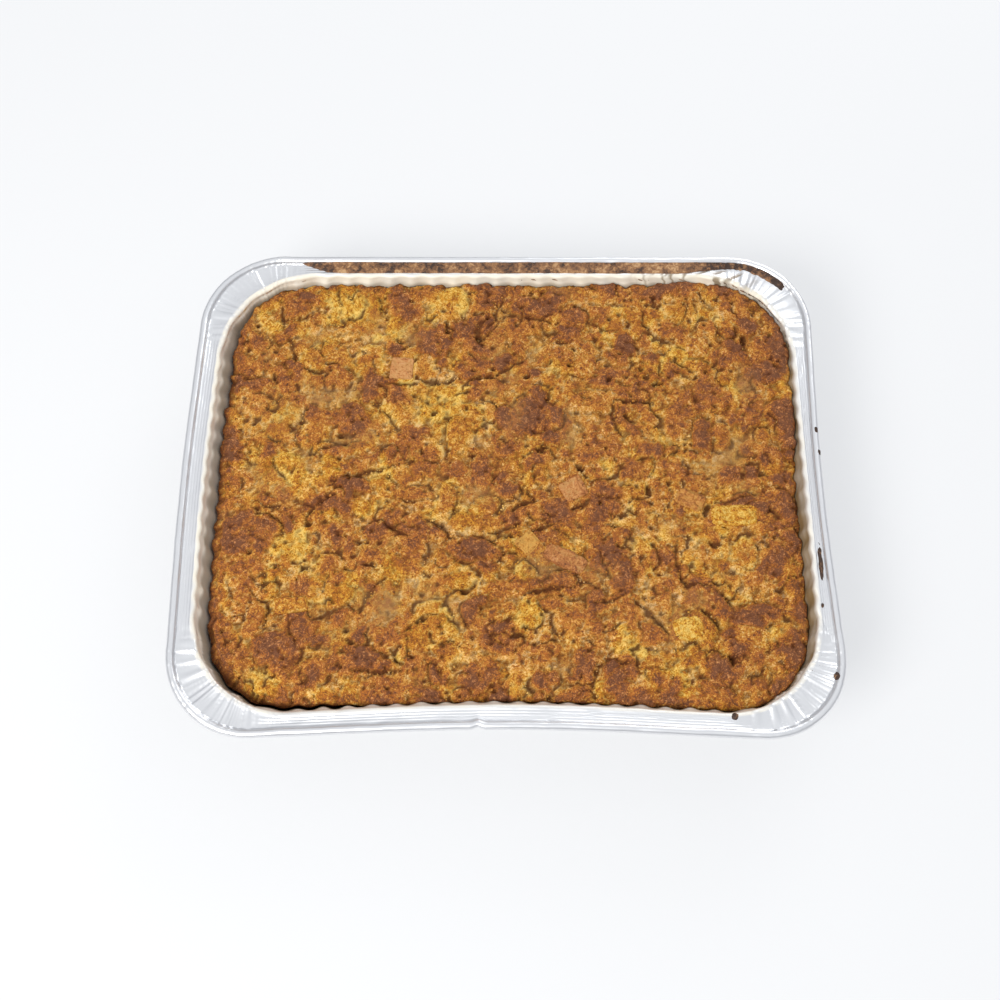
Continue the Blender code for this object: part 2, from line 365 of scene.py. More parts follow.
# %% Group: baked colour
# The last two colours are a light fleck, partly a painted highlight, and the dark of painted shade.
BAKING = {"Pale": (244, 206, 142), "Golden": (216, 159, 66), "Brown": (178, 106, 40),
          "Scorched": (122, 78, 50), "Fleck": (226, 178, 128), "Hollow": (84, 42, 12)}


def tints(colours):
    """Turn a dictionary of screen colours into linear light."""
    return {name: screen(*colour) for name, colour in colours.items()}


baked_colour, given, out = new_group(
    "baked_colour",
    {"Baked": ("Float", 0.5), "Grain": ("Float", 0.5), "Flecks": ("Float", 0.0),
     "Hollow Amount": ("Float", 0.0), **{name: ("Color", tint) for name, tint in tints(BAKING).items()}},
    ("Color",))
# Painted light and shade: the grain's tips are made paler and its gaps browner, on the relief the same
# grain gives.
shift = maths(baked_colour, "MULTIPLY", maths(baked_colour, "SUBTRACT", given["Grain"], 0.5), 2.9)
level = maths(baked_colour, "SUBTRACT", given["Baked"], shift, clamp=True)
colour = given["Pale"]
for name, low, high in (("Golden", 0.0, 0.36), ("Brown", 0.28, 0.68), ("Scorched", 0.6, 1.0)):
    colour = mix(baked_colour, ramp(baked_colour, level, low, high), colour, given[name])
# Light flecks on the grain's tips: partly the crumb's own colour, partly a painted highlight.
toasted = maths(baked_colour, "MULTIPLY", ramp(baked_colour, given["Baked"], 0.4, 0.9), 0.4)
glint_speck = maths(baked_colour, "MULTIPLY", maths(baked_colour, "ADD", toasted, 0.06), given["Flecks"])
colour = mix(baked_colour, glint_speck, colour, given["Fleck"])
# Painted shade: low places are mixed toward the darkest colour.
feed(baked_colour, out,
     {"Color": mix(baked_colour, given["Hollow Amount"], colour, given["Hollow"])})
print("baked colour nodes:", len(baked_colour.nodes))

# %% [markdown]
# ## The group for foil creases
#
# Thin foil that has been handled has slack dents and a net of fine folds. Noise gives the dents. The
# folds come from a Voronoi texture's distance to the nearest cell edge, which draws a net of lines.

# %% Group: foil creases
foil_creases, given, out = new_group(
    "foil_creases", {"Vector": ("Vector", None), "Crease Scale": ("Float", 60.0)},
    ("Height", "Dullness"))
wander = noise(foil_creases, given["Vector"], given["Crease Scale"], 4.0, 0.6)
folds = add(foil_creases, "ShaderNodeTexVoronoi", feature="DISTANCE_TO_EDGE")
feed(foil_creases, folds, {"Vector": given["Vector"], "Scale": given["Crease Scale"]})
folded = ramp(foil_creases, folds.outputs["Distance"], 0.0, 0.25)
height = maths(foil_creases, "ADD", wander, maths(foil_creases, "MULTIPLY", folded, 0.35))
feed(foil_creases, out, {"Height": height, "Dullness": wander})
print("foil crease nodes:", len(foil_creases.nodes))

# %% [markdown]
# ## Finishes
#
# Foil is a clean metal, so nearly all of its look is what it reflects, broken up by creases. The
# crust is the opposite: its look is colour. Four numbers painted on the mesh steer it: how baked a
# spot is, how much painted shade it gets where it lies deep, how much bare custard shows, and how
# yellow its crumb is.

# %% Finish: aluminium foil
def object_vector(tree):
    """Return the piece's own coordinates."""
    return add(tree, "ShaderNodeTexCoord").outputs["Object"]


def painted(tree, name):
    """Read a number painted on the mesh."""
    return add(tree, "ShaderNodeAttribute", attribute_name=name).outputs["Fac"]


def new_finish(name):
    """Start a material, and return it with its tree and its Principled shader."""
    made = bpy.data.materials.new(name)
    made.use_nodes = True
    return made, made.node_tree, made.node_tree.nodes["Principled BSDF"]


def bumped(tree, height, distance, strength):
    """Return a normal bent by a height, whose full range is a distance in metres."""
    return feed(tree, add(tree, "ShaderNodeBump"),
                {"Height": height, "Distance": distance, "Strength": strength}).outputs["Normal"]


foil, tree, shader = new_finish("bright_foil")
creases = use_group(tree, foil_creases, {"Vector": object_vector(tree), "Crease Scale": 70.0})
# The film number is partly painted light on the back wall; the stain number is partly painted shade and a
# painted reflection low on the wall by the crust.
film, stain = painted(tree, "film"), painted(tree, "stain")
colour = mix(tree, creases["Dullness"], screen(246, 246, 247), screen(222, 223, 226))
colour = mix(tree, film, colour, screen(238, 230, 212))
colour = mix(tree, stain, colour, screen(112, 84, 36))
dull = maths(tree, "MULTIPLY", ramp(tree, creases["Dullness"], 0.3, 0.8), 0.16)
rough = maths(tree, "ADD", maths(tree, "ADD", dull, 0.28), maths(tree, "MULTIPLY", film, 0.35))
cover = maths(tree, "ADD", maths(tree, "MULTIPLY", film, 0.75), maths(tree, "MULTIPLY", stain, 0.8),
              clamp=True)
feed(tree, shader, {"Base Color": colour, "Roughness": rough,
                    "Metallic": maths(tree, "SUBTRACT", 1.0, cover),
                    "Normal": bumped(tree, creases["Height"], 0.0003, 0.3)})
print("foil nodes:", len(tree.nodes))

# %% [markdown]
# ## The baked crust's finish
#
# Crust and bread pieces share one recipe with other numbers, so a function makes both. The baked
# colour is tinted rosy or golden by the painted yellow. Bare custard is smoother, greyer and calmer,
# and light that goes a little way in (subsurface) keeps the crumb from looking like sand.

# %% Finish: baked crust
def bread_finish(name, grain_scale, curl, bump_depth, own_tints):
    """Make a baked finish whose colour follows the painted numbers and the crumb's grain."""
    made, tree, shader = new_finish(name)
    grain = use_group(tree, crumb_grain,
                      {"Vector": object_vector(tree), "Grain Scale": grain_scale, "Curl": curl})
    custard = painted(tree, "custard")
    # Pores are painted dark, less so in bare custard: painted shade.
    pore_share = maths(tree, "SUBTRACT", 0.5, maths(tree, "MULTIPLY", custard, 0.3))
    pores = maths(tree, "MULTIPLY", grain["Pores"], pore_share)
    calm = feed(tree, add(tree, "ShaderNodeMix", data_type="FLOAT"),
                {0: maths(tree, "MULTIPLY", custard, 0.5), 2: grain["Grain"], 3: 0.5})
    baked = use_group(tree, baked_colour,
                      {**own_tints, "Baked": painted(tree, "baked"), "Grain": calm.outputs[0],
                       "Flecks": grain["Flecks"],
                       "Hollow Amount": maths(tree, "MAXIMUM", painted(tree, "hollow"), pores)})
    rosy = mix(tree, 1.0, baked["Color"], screen(252, 246, 250), "MULTIPLY")
    golden = mix(tree, 1.0, baked["Color"], screen(253, 251, 196), "MULTIPLY")
    bread = mix(tree, ramp(tree, painted(tree, "yellow"), 0.0, 0.8), rosy, golden)
    bare_custard = mix(tree, grain["Grain"], screen(116, 84, 46), screen(166, 132, 92))
    wet = maths(tree, "MULTIPLY", custard, 0.3)
    feed(tree, shader,
         {"Base Color": mix(tree, maths(tree, "MULTIPLY", custard, 0.55), bread, bare_custard),
          "Roughness": maths(tree, "SUBTRACT", 0.74, wet), "Specular IOR Level": 0.25,
          "Subsurface Weight": 0.05, "Subsurface Radius": (1.0, 0.45, 0.2),
          "Subsurface Scale": 0.0012, "Normal": bumped(tree, grain["Height"], bump_depth, 0.8)})
    print(name, "nodes:", len(tree.nodes))
    return made


crust = bread_finish("baked_crust", 780.0, 1.8, 0.0019, {})
pale_bread = bread_finish("pale_bread", 1100.0, 0.9, 0.0006, tints(
    {"Pale": (198, 150, 96), "Golden": (188, 130, 74), "Brown": (162, 104, 56)}))

# %% [markdown]
# ## The foil pan's profile
#
# A pan is one sheet, so it is one closed profile carried round the outline: over the floor, up the
# wall, round the lip, along the shelf, round the rolled bead, and all the way back underneath, a
# foil's thickness away. Each profile point has an inset, a height, a corner radius and three
# strengths: how much it flutes, how much it bends with the dented sides, and how much it creases
# at the corners, where flat sheet has too much material and gathers into radial pleats.

# %% The pan's profile
FOIL = 0.3
SHELF_IN, SHELF_OUT, RIDGE, RIDGES, BEAD_ROWS = 10.1, 4.6, 0.11, 4, 17
lip_z = PAN_HEIGHT - SHELF_DROP
bead_z = PAN_HEIGHT - BEAD


def inner_profile():
    """Return rows of (inset, z, corner, flute, bend, pleat) from the floor's edge to the bead."""
    foot = wall_inset(5.0)
    rows = [(foot + 20.0, 0.9, 8.0, 0, 0, 0), (foot + 18.6, 0.4, 9.0, 0, 0, 0),
            (foot + 10.0, 0.4, 14.0, 0, 0, 0), (foot + 5.0, 0.4, 16.0, 0, 0, 0.05)]
    for turn in np.linspace(0.15, 0.95, 5):
        swing = turn * math.radians(74.0)
        rows.append((foot + 4.4 - 3.9 * math.sin(swing), 4.6 - 4.2 * math.cos(swing), 19.0,
                     turn, 0, 0.2))
    for z in np.linspace(5.5, 40.0, 7):
        rows.append((wall_inset(z), z, wall_corner(z), 1.0, LIP_BEND * z / 45.0, 0.25))
    for z in (42.0, 43.5, 45.0, 46.0, 47.0, 48.0, 49.0, 50.0, 51.0):
        rows.append((wall_inset(z), z, wall_corner(z), 1.0, LIP_BEND, 0.4 + 0.06 * (z - 42.0)))
    for swing in np.radians((72.0, 58.0, 44.0, 30.0, 15.0, 0.0)):
        rows.append((10.62 + 2.0 * math.sin(swing), lip_z - 2.0 + 2.0 * math.cos(swing),
                     LIP_CORNER + 1.5 * math.cos(swing), 0, LIP_BEND, 0.9))
    for inset in np.linspace(SHELF_IN, SHELF_OUT, 21):
        part = (inset - SHELF_OUT) / (SHELF_IN - SHELF_OUT)
        ridge = RIDGE * math.cos(RIDGES * 2 * math.pi * part) - 0.3 * math.sin(math.pi * part)
        share = (10.6 - inset) / 6.4
        rows.append((inset, lip_z - 0.15 + ridge, RIM_CORNER - inset + 16.1 * (inset - 4.2) / 5.9,
                     0, LIP_BEND + (0.9 - LIP_BEND) * share, 1.0 - 0.25 * share))
    for swing in np.radians(np.linspace(8.0, 352.0, BEAD_ROWS)):
        inset = BEAD * (1 + math.cos(swing))
        rows.append((inset, bead_z + BEAD * math.sin(swing), RIM_CORNER - inset, 0, 1.0, 0.2))
    return np.array(rows, dtype=float)


def under_profile(inner):
    """Return the same sheet's underside: every second row before the bead, backwards, a foil away."""
    rows = inner[:-BEAD_ROWS][::-1].copy()
    along = np.gradient(rows[:, :2], axis=0)
    along /= np.linalg.norm(along, axis=1)[:, None]
    rows[:, 0] += FOIL * along[:, 1]
    rows[:, 1] -= FOIL * along[:, 0]
    return rows[::2]


inner = inner_profile()
under = under_profile(inner)
profile = np.concatenate([inner, under])
print("profile points:", len(profile), "lowest:", profile[:, 1].min().round(3))

# %% [markdown]
# ## The pan's surface
#
# Every profile point goes round the outline as one row of a grid. Flutes press the wall in by a
# cosine of the steps counted round it. Pleats run straight out from each corner's centre, as gathered
# sheet does, so they follow the angle at that centre. The last row of the underside and the first row
# of the floor are each closed onto a hub.

# %% The pan's surface
pan_path = round_the_pan(5, 12)


def pleats(x, y, seed=11):
    """Return radial pleats, about -0.5 to 1, and how near a corner each point is, 0 to 1.

    How far round a corner a point lies is the radius times its angle at the corner's centre. Noise
    along that length, folded sharp, gives pleats that run straight out from the centre.
    """
    over_x = np.abs(x) - (RIM_LENGTH / 2 - RIM_CORNER)
    over_y = np.abs(y) - (RIM_WIDTH / 2 - RIM_CORNER)
    swing = np.arctan2(np.maximum(over_y, 0), np.maximum(over_x, 1e-6) * (over_x > 0))
    arc = RIM_CORNER * swing + np.minimum(over_y, 0) - np.minimum(over_x, 0) + 300.0 * (x > 0)
    waves = value_noise(arc, 40.0 * (y > 0) + seed, 3.3, seed)
    waves = waves + 0.6 * value_noise(arc, 40.0 * (y > 0), 1.8, seed + 1)
    near = blend(-20.0, 2.0, np.minimum(over_x, over_y))
    return (np.abs(waves / 1.6 - 0.5) * 3.4 - 0.5) * near, near


def pan_points(rows, path):
    """Carry the profile round the outline, then press in flutes and pleats along the normals."""
    inset, z, corner, flute, bend, pleat = (rows[:, k, None] for k in range(6))
    x, y = place_ring(path, inset, corner, bend)
    angle, steps = path[2][None, :], path[3][None, :]
    pressed = (1.0 - np.cos(math.pi * steps)) / 2.0
    scallop = blend(0.0, 2.6, lip_z - 4.2 + 2.4 * pressed - z)
    folds, near = pleats(x, y)
    gather = folds * pleat
    drift = value_noise(steps * 6.4, inset * 3.0, 14.0, 5) - 0.5
    handled = value_noise(steps * 6.4, inset * 1.5, 6.0, 15) - 0.5
    at_lip = blend(50.4, 51.4, z) * (bend <= LIP_BEND) * (inset > 9.0)
    at_wall_top = blend(38.0, 46.0, z) * blend(52.0, 50.0, z)
    inward = 1.2 * pressed * flute * scallop
    inward = inward + gather * 0.6 * blend(52.9, 51.0, z) * (flute + 0.4)
    inward = inward + 0.7 * (1 - 0.8 * blend(-90, -110, y)) * (pressed - 0.5) * at_lip
    inward = inward + handled * 1.1 * flute * at_wall_top
    x = x - inward * np.cos(angle)
    y = y - inward * np.sin(angle)
    on_shelf = np.abs(inset - (SHELF_IN + SHELF_OUT) / 2) < 2.8
    ridge = np.cos((inset - SHELF_OUT) / (SHELF_IN - SHELF_OUT) * 2 * RIDGES * math.pi)
    lift = gather * blend(51.0, 53.0, z)
    lift = lift + (drift * 0.5 + handled * 0.25) * blend(50.0, 53.0, z) * (pleat > 0.15)
    z = z - RIDGE * ridge * on_shelf * near + lift
    return np.stack([x - MIDDLE_X, y - MIDDLE_Y, z + 0 * x], axis=-1)


def closed_tube(points):
    """Return a closed tube's points, a hub at each end, and faces that close it onto the hubs."""
    rows, columns = points.shape[:2]
    hubs = np.array([[0, 0, points[0, :, 2].mean()], [0, 0, points[-1, :, 2].mean()]])
    ring, count = np.arange(columns), rows * columns
    faces = [grid_faces(rows, columns, closed_columns=True), fan_faces(ring, count, outward=False),
             fan_faces((rows - 1) * columns + ring, count + 1)]
    return np.concatenate([points.reshape(-1, 3), hubs]), faces


points = pan_points(profile, pan_path)
foil_pan = make_piece("foil_pan_sheet", *closed_tube(points), foil, "aluminium_foil", "foil_pan")

# %% [markdown]
# ## Film, stains, painted light and shade on the wall
#
# Foil inside a baked pan doesn't stay bright. Steam and custard leave a thin film on the wall, cream
# at the back and grey elsewhere, and fat stains it olive in places. Two painted numbers say how much
# film and how much staining lie at each point. The film is painted thicker at the back, which is
# also painted light: it brightens the back wall as the light it catches would. Low on the wall,
# where it meets the crust, the stain number holds painted shade and a painted reflection of the crust.

# %% Film, stains, painted light and shade on the wall
px, py, pz = points[..., 0] + MIDDLE_X, points[..., 1] + MIDDLE_Y, points[..., 2]
on_top = (np.arange(len(profile)) < len(inner) - BEAD_ROWS)[:, None]
inside = on_top & (profile[:, 0] > 10.2)[:, None]
wall = inside * blend(36.0, 44.0, pz) * blend(54.2, 53.2, pz)
at_back = blend(96.0, 112.0, py)
at_right = blend(134.0, 146.0, px) * blend(96.0, 86.0, py)
at_left = blend(-134.0, -146.0, px)
mottle = rough_noise(px + pz, py - pz, 9.0, 17)
# Painted light: the film is made thicker at the back, so the back wall reads as brightly lit.
film = wall * np.clip(0.55 + 0.4 * at_back + 0.25 * at_left + mottle * 0.5, 0, 0.95)
olive = 0.45 * at_back * blend(22.0, 12.0, np.abs(px + 58.0)) * blend(51.0, 48.5, pz)
olive = np.maximum(olive, at_right * blend(53.0, 51.4, pz) * (0.85 + mottle * 0.5))
# Painted shade and a painted reflection of the crust: the wall goes dark olive low down by the crust.
by_crust = wall * blend(50.2, 48.4, pz) * (0.9 + mottle * 0.4)
olive = np.maximum(olive, by_crust * (1 - 0.4 * at_back - 0.35 * at_left))
along_rim, across_rim = pan_path[3][None, :], profile[:, 0, None]
streaks = blend(0.42, 0.7, value_noise(along_rim * 6.4, across_rim * 0.3, 1.3, 23))
streaks = streaks * blend(32.0, 34.5, along_rim) * blend(43.0, 40.0, along_rim)
streaks = streaks * blend(6.4, 8.0, across_rim)
stain = np.maximum(np.clip(olive, 0, 0.95) * (pz > 30) * inside, 0.8 * streaks * on_top)
paint(foil_pan, film=np.append(film.ravel(), [0, 0]), stain=np.append(stain.ravel(), [0, 0]))
print("film and stain, mean:", film.mean().round(3), stain.mean().round(3))

# %% [markdown]
# ## The crust, 1: a grid that fits a round-cornered pan
#
# A square grid bent to the pan's outline keeps its cells even all over, where rings shrinking to a
# centre would crowd them. A point's distance from the middle of the square (the larger of its two
# coordinates) picks a ring, and the other coordinate says how far along that ring's side it is.

# %% The crust's grid
ACROSS, DEEP = 316, 252
EDGE_Z, EDGE_INSET, EDGE_CORNER = 47.4, 15.0, 43.5


def bent_square(across, deep, half_x, half_y, corner):
    """Bend a square grid to a round-cornered outline.

    Ring m is the outline scaled by m, with a corner that shrinks as m to the fourth. A side is
    half an arc, a straight and half an arc, and its points keep their share of that length.
    Returns x, y, m, the outward angle, and the corner-centre signs.
    """
    u, v = np.meshgrid(np.linspace(-1, 1, across + 1), np.linspace(-1, 1, deep + 1))
    m = np.maximum(np.abs(u), np.abs(v))
    wide = np.abs(u) >= np.abs(v)
    safe = np.maximum(m, 1e-9)
    share = np.where(wide, np.abs(v), np.abs(u)) / safe
    radius = corner * m ** 4
    reach_x, reach_y = half_x * m - radius, half_y * m - radius
    straight = np.where(wide, reach_y, reach_x)
    along = share * (straight + radius * math.pi / 4)
    swing = np.clip((along - straight) / np.maximum(radius, 1e-9), 0.0, math.pi / 4)
    slide = np.minimum(along, straight)
    x = np.where(wide, reach_x + radius * np.cos(swing), slide + radius * np.sin(swing))
    y = np.where(wide, slide + radius * np.sin(swing), reach_y + radius * np.cos(swing))
    angle = np.where(wide, swing, math.pi / 2 - swing)
    sign_x, sign_y = np.where(u < 0, -1.0, 1.0), np.where(v < 0, -1.0, 1.0)
    angle = np.arctan2(np.sin(angle) * sign_y, np.cos(angle) * sign_x)
    centre_x = sign_x * np.where(wide, 1.0, slide / np.maximum(reach_x, 1e-9))
    centre_y = sign_y * np.where(wide, slide / np.maximum(reach_y, 1e-9), 1.0)
    return x * sign_x, y * sign_y, m, angle, centre_x, centre_y


def flute_press(angle, centre_x, centre_y):
    """Return how far a flute presses in here, 0 to 1: a cosine counted along each side or arc."""
    quarter = np.abs(np.arctan2(np.abs(np.sin(angle)), np.abs(np.cos(angle))))
    arc = (quarter > 1e-6) & (quarter < math.pi / 2 - 1e-6)
    side = np.where(quarter <= 1e-6, (centre_y + 1) / 2 * SIDE_STEPS[0],
                    (centre_x + 1) / 2 * SIDE_STEPS[1])
    return (1.0 - np.cos(np.where(arc, 16.0 * quarter, math.pi * side))) / 2.0


crust_x, crust_y, ringness, out_angle, hub_x, hub_y = bent_square(
    ACROSS, DEEP, RIM_LENGTH / 2 - EDGE_INSET, RIM_WIDTH / 2 - EDGE_INSET, EDGE_CORNER)
press = flute_press(out_angle, hub_x, hub_y)
ragged = rough_noise(crust_x, crust_y, 16.0, 31) * 1.6
at_front = blend(-80, -105, crust_y)
shrunk = blend(-100, -140, crust_x) * (3.8 - 0.8 * blend(40, 80, crust_y))
shrunk = shrunk * (1 - 0.7 * blend(70, 105, crust_y)) - 0.6 * at_front
shrunk = shrunk + 2.8 * blend(-85, -105, crust_y) * blend(-50, -105, crust_x)
swell = np.maximum(2.2 * blend(80, 110, crust_y),
                   4.6 * blend(-10, 50, crust_y) * blend(50, 110, crust_x))
shrunk = shrunk - 0.52 * swell
from_wall = np.maximum(ragged * 0.8 + shrunk, -0.25 - 0.29 * swell)
pull = blend(0.93, 1.0, ringness) * (press * (1.0 - 0.75 * at_front) + from_wall)
bend_y = np.cos(math.pi / 2 * np.abs(crust_y) / np.abs(crust_y).max()) ** 2
bend_x = np.cos(math.pi / 2 * np.abs(crust_x) / np.abs(crust_x).max()) ** 2
edge_only = ringness ** 6
bulge = 0.6 * edge_only * bend_y * np.where(crust_x < 0, LEFT_BULGE, 0.0)
dent = edge_only * bend_x * np.where(crust_y < 0, FRONT_DENT, 0.0)
crust_x = crust_x - pull * np.cos(out_angle) - bulge
crust_y = crust_y - pull * np.sin(out_angle) + dent
print("crust grid:", crust_x.shape, "mean cell in mm:", np.diff(crust_x[DEEP // 2]).mean().round(2))

# %% [markdown]
# ## The crust, 2: bread pieces, painted one over another
#
# Torn bread went in first and custard set around it, so the crust is a jumble of rounded pieces.
# It's built as a painter would: each piece is laid over what is there already, with its own height,
# tilt and colour, and a crease round part of its edge, painted dark as painted shade. Random pieces
# fill the face. The named places below give this pudding its own look: the yellow torn crumb, the
# scorched knobs, and the low places where bare custard shows.

# %% Kinds of bread and where they lie
KINDS = {  # baked, yellow, custard, lift in mm
    "pale": (0.04, 0.30, 0.0, 0.9),
    "yellow": (0.12, 0.85, 0.0, 0.3),
    "gold": (0.28, 0.50, 0.0, 0.6),
    "olive": (0.34, 0.60, 0.3, -0.2),
    "orange": (0.44, 0.10, 0.0, 0.6),
    "brown": (0.60, 0.05, 0.0, 0.2),
    "scorch": (0.66, 0.00, 0.0, 0.8),
    "custard": (0.42, 0.30, 1.0, -1.3),
}
LAID_DOWN = [  # kind, then each piece's x, y, length, width, turn in degrees
    ("yellow", [(-83, 103, 33, 22, -10), (-31, 47, 31, 24, 0), (85, 75, 24, 22, 40)]),
    ("gold", [(-88, 75, 26, 9, -45)]),
    ("yellow", [(-96, 5, 20, 16, 0), (-106, -39, 30, 24, 20), (-61, -3, 28, 31, 0)]),
    ("gold", [(-23, 28, 15, 27, 0), (-14, -22, 27, 15, -10), (17, 3, 15, 16, 0)]),
    ("orange", [(45, 25, 27, 25, 0)]), ("gold", [(114, -48, 19, 34, 0), (-32, -77, 21, 15, 0)]),
    ("yellow", [(58, -81, 18, 15, 20), (-109, -103, 11, 8, 0), (13, -70, 14, 16, 0)]),
    ("gold", [(101, 99, 38, 17, 0)]), ("olive", [(-119, 37, 26, 29, 0)]),
    ("gold", [(-60, 33, 19, 16, 10)]),
    ("orange", [(57, 107, 38, 19, 0), (-109, 97, 33, 22, 0), (-132, 79, 21, 38, 0), (-26, 91, 33, 22, 0),
     (8, 88, 27, 18, 0), (-46, -5, 20, 30, 0), (-81, -42, 29, 24, 0)]),
    ("brown", [(-143, 23, 13, 31, 0)]),
    ("orange", [(45, 46, 37, 14, 0), (79, 49, 31, 19, 0), (94, 1, 25, 18, -30)]),
    ("brown", [(139, -10, 17, 35, 0)]),
    ("orange", [(-17, 15, 20, 17, 0), (-70, -68, 29, 17, -10), (-129, -63, 21, 24, 0)]),
    ("brown", [(-133, -93, 19, 19, 0)]), ("orange", [(8, -88, 42, 12, 0)]),
    ("gold", [(94, -88, 28, 19, 0)]), ("orange", [(66, -63, 21, 19, 0), (32, -76, 24, 21, 0)]),
    ("custard", [(-89, 51, 37, 12, 0)]), ("orange", [(-88, 59, 15, 12, 0)]),
    ("custard", [(7, 39, 8, 31, -25), (-79, 25, 26, 7, 5), (-12, -6, 22, 11, -10), (18, -43, 26, 16, -10),
     (47, -50, 22, 15, 20), (-56, -63, 13, 21, 0), (-36, -59, 12, 14, 0), (-49, 85, 15, 13, 0),
     (118, 21, 31, 9, 40), (92, -61, 12, 11, 0), (34, 32, 12, 26, 0), (126, 55, 13, 21, 0),
     (-102, 15, 8, 12, 0)]),
    ("gold", [(-26, -50, 29, 13, 0)]),
    ("scorch", [(-86, 36, 33, 12, -10), (-131, 58, 23, 8, 8), (-121, -17, 47, 21, 28), (-7, 8, 21, 24, 0),
     (24, 34, 20, 17, 0), (70, 16, 23, 18, -20), (102, 27, 11, 24, -5), (130, 76, 30, 35, 0),
     (-12, -69, 30, 20, -20), (58, -47, 14, 22, 30), (-106, -87, 22, 25, 0), (-10, 91, 30, 17, -20),
     (-37, 83, 24, 14, -30), (29, -10, 16, 22, 0), (-71, -94, 30, 14, 0), (-37, -104, 26, 16, 0),
     (125, -68, 21, 12, 0), (50, 59, 18, 10, -10), (38, 96, 15, 12, 0), (-14, -37, 29, 14, -12),
     (146, 28, 13, 29, 0)]),
    ("orange", [(20, -55, 63, 13, 6)]),
    ("scorch", [(-97, -76, 15, 12, 0), (-47, 23, 12, 14, 0), (-80, -6, 27, 22, 0), (39, -95, 12, 19, -10),
     (14, 107, 24, 16, 0), (-70, 55, 13, 18, 0), (-134, -24, 15, 15, 0), (55, -103, 14, 14, 0),
     (103, -98, 14, 16, 0), (46, -15, 15, 22, 0)]),
    ("pale", [(-35, 64, 18, 7, -8)]),
]
BREAD = [(kind, *place) for kind, places in LAID_DOWN for place in places]
print("named places:", len(BREAD))

# %% [markdown]
# ## Laying the bread down
#
# A *superellipse* is an oval whose squares are swapped for a higher power, which makes it a rounded
# oblong like a torn cube of bread. Each piece is a dome over one. Where the dome stands above what is
# there, it wins, and the height and the painted numbers take its values. Warping the coordinates
# first gives ragged edges, and a soft stain over each named place brings its tone through.

# %% Paint the bread
def superellipse(x, y, length, width, turn, power):
    """Return 1 on a rounded oblong's edge: the powers of the two half-size shares, added."""
    swing = math.radians(turn)
    along = (x * math.cos(swing) + y * math.sin(swing)) / (length / 2)
    across = (y * math.cos(swing) - x * math.sin(swing)) / (width / 2)
    return (np.abs(along) ** power + np.abs(across) ** power) ** (1 / power), along, across


def kind_at(x, y, otherwise):
    """Return the kind of the last named piece that covers a place."""
    covering = otherwise
    for kind, at_x, at_y, length, width, turn in BREAD:
        if superellipse(x - at_x, y - at_y, length, width, turn, 2.4)[0] < 1.0:
            covering = kind
    return covering


def random_bread(count, shortest, longest, seed):
    """Scatter small oblong pieces; three in four take the kind of the named piece they lie on."""
    chance = np.random.default_rng(seed)
    kinds = chance.choice(["orange", "gold", "brown", "yellow", "scorch", "custard"], count,
                          p=[0.38, 0.24, 0.20, 0.08, 0.05, 0.05])
    x, y = chance.uniform(-150, 150, count), chance.uniform(-120, 120, count)
    length = shortest + (longest - shortest) * chance.random(count) ** 1.5
    turn = chance.uniform(0, 180, count)
    width = length * chance.uniform(0.4, 0.75, count)
    follows = chance.random(count) < 0.75
    kinds = [kind_at(at_x, at_y, kind) if follow else kind
             for kind, at_x, at_y, follow in zip(kinds.tolist(), x, y, follows)]
    pieces = zip(kinds, *(column.tolist() for column in (x, y, length, width, turn)))
    return sorted(pieces, key=lambda piece: -piece[3])


def warped(x, y, seed, wide, wide_push, fine, fine_push):
    """Push both coordinates about by wide and by fine noise, which makes drawn edges uneven."""
    return [line + rough_noise(x, y, wide, seed + 50 + 20 * k) * wide_push
            + rough_noise(x, y, fine, seed + 60 + 20 * k) * fine_push for k, line in enumerate((x, y))]


def pile_bread(x, y, pieces, seed, fields):
    """Pile domes on the fields: where a piece's dome stands above what's there, it shows.

    The dome is lift + tilt + rise (1 - edge^2.6)^0.6. Where it only just shows lies a crease.
    """
    chance = np.random.default_rng(seed)
    warp_x, warp_y = warped(x, y, seed, 10.0, 5.0, 3.2, 1.3)
    for kind, at_x, at_y, length, width, turn in pieces:
        baked, yellow, custard, lift = KINDS[kind]
        tilt_x, tilt_y, crease, crease_side, tone, high = chance.random(6)
        near = np.flatnonzero(np.hypot(warp_x - at_x, warp_y - at_y) < 0.62 * length + 2.0)
        if not len(near):
            continue
        edge, along, across = superellipse(warp_x[near] - at_x, warp_y[near] - at_y,
                                           length, width, turn, 2.4)
        dome = np.clip(1 - edge ** 2.6, 0, 1) ** 0.6
        rise = 0.8 + 0.06 * width + 0.7 * high
        slope = ((tilt_x - 0.5) * along + (tilt_y - 0.5) * across) * 1.2
        top = fields["base"][near] - 2.0 + lift + slope + rise * dome
        over = top - fields["height"][near]
        win = blend(-0.15, 0.4, over) * blend(1.04, 0.9, edge)
        facing = 0.5 + 0.5 * np.cos(np.arctan2(across, along) - crease_side * 2 * math.pi)
        side = np.exp(-((edge - 0.97) * width / 2 / 0.6) ** 2)
        # A crease is lowered and painted dark: painted shade.
        crack = side * blend(0.45, 0.85, facing) * (crease > 0.6) * (custard < 0.5)
        fields["height"][near] += win * over - 1.1 * crack
        for name, value in (("baked", baked + 0.24 * (tone - 0.5) + 0.46 * (dome - 0.7)),
                            ("yellow", yellow + 0.6 * (0.7 - dome)), ("custard", custard)):
            fields[name][near] += win * (value - fields[name][near])
        fields["hollow"][near] = np.maximum(fields["hollow"][near] * (1 - win),
                                            crack * (0.4 + 0.5 * crease))
    return fields


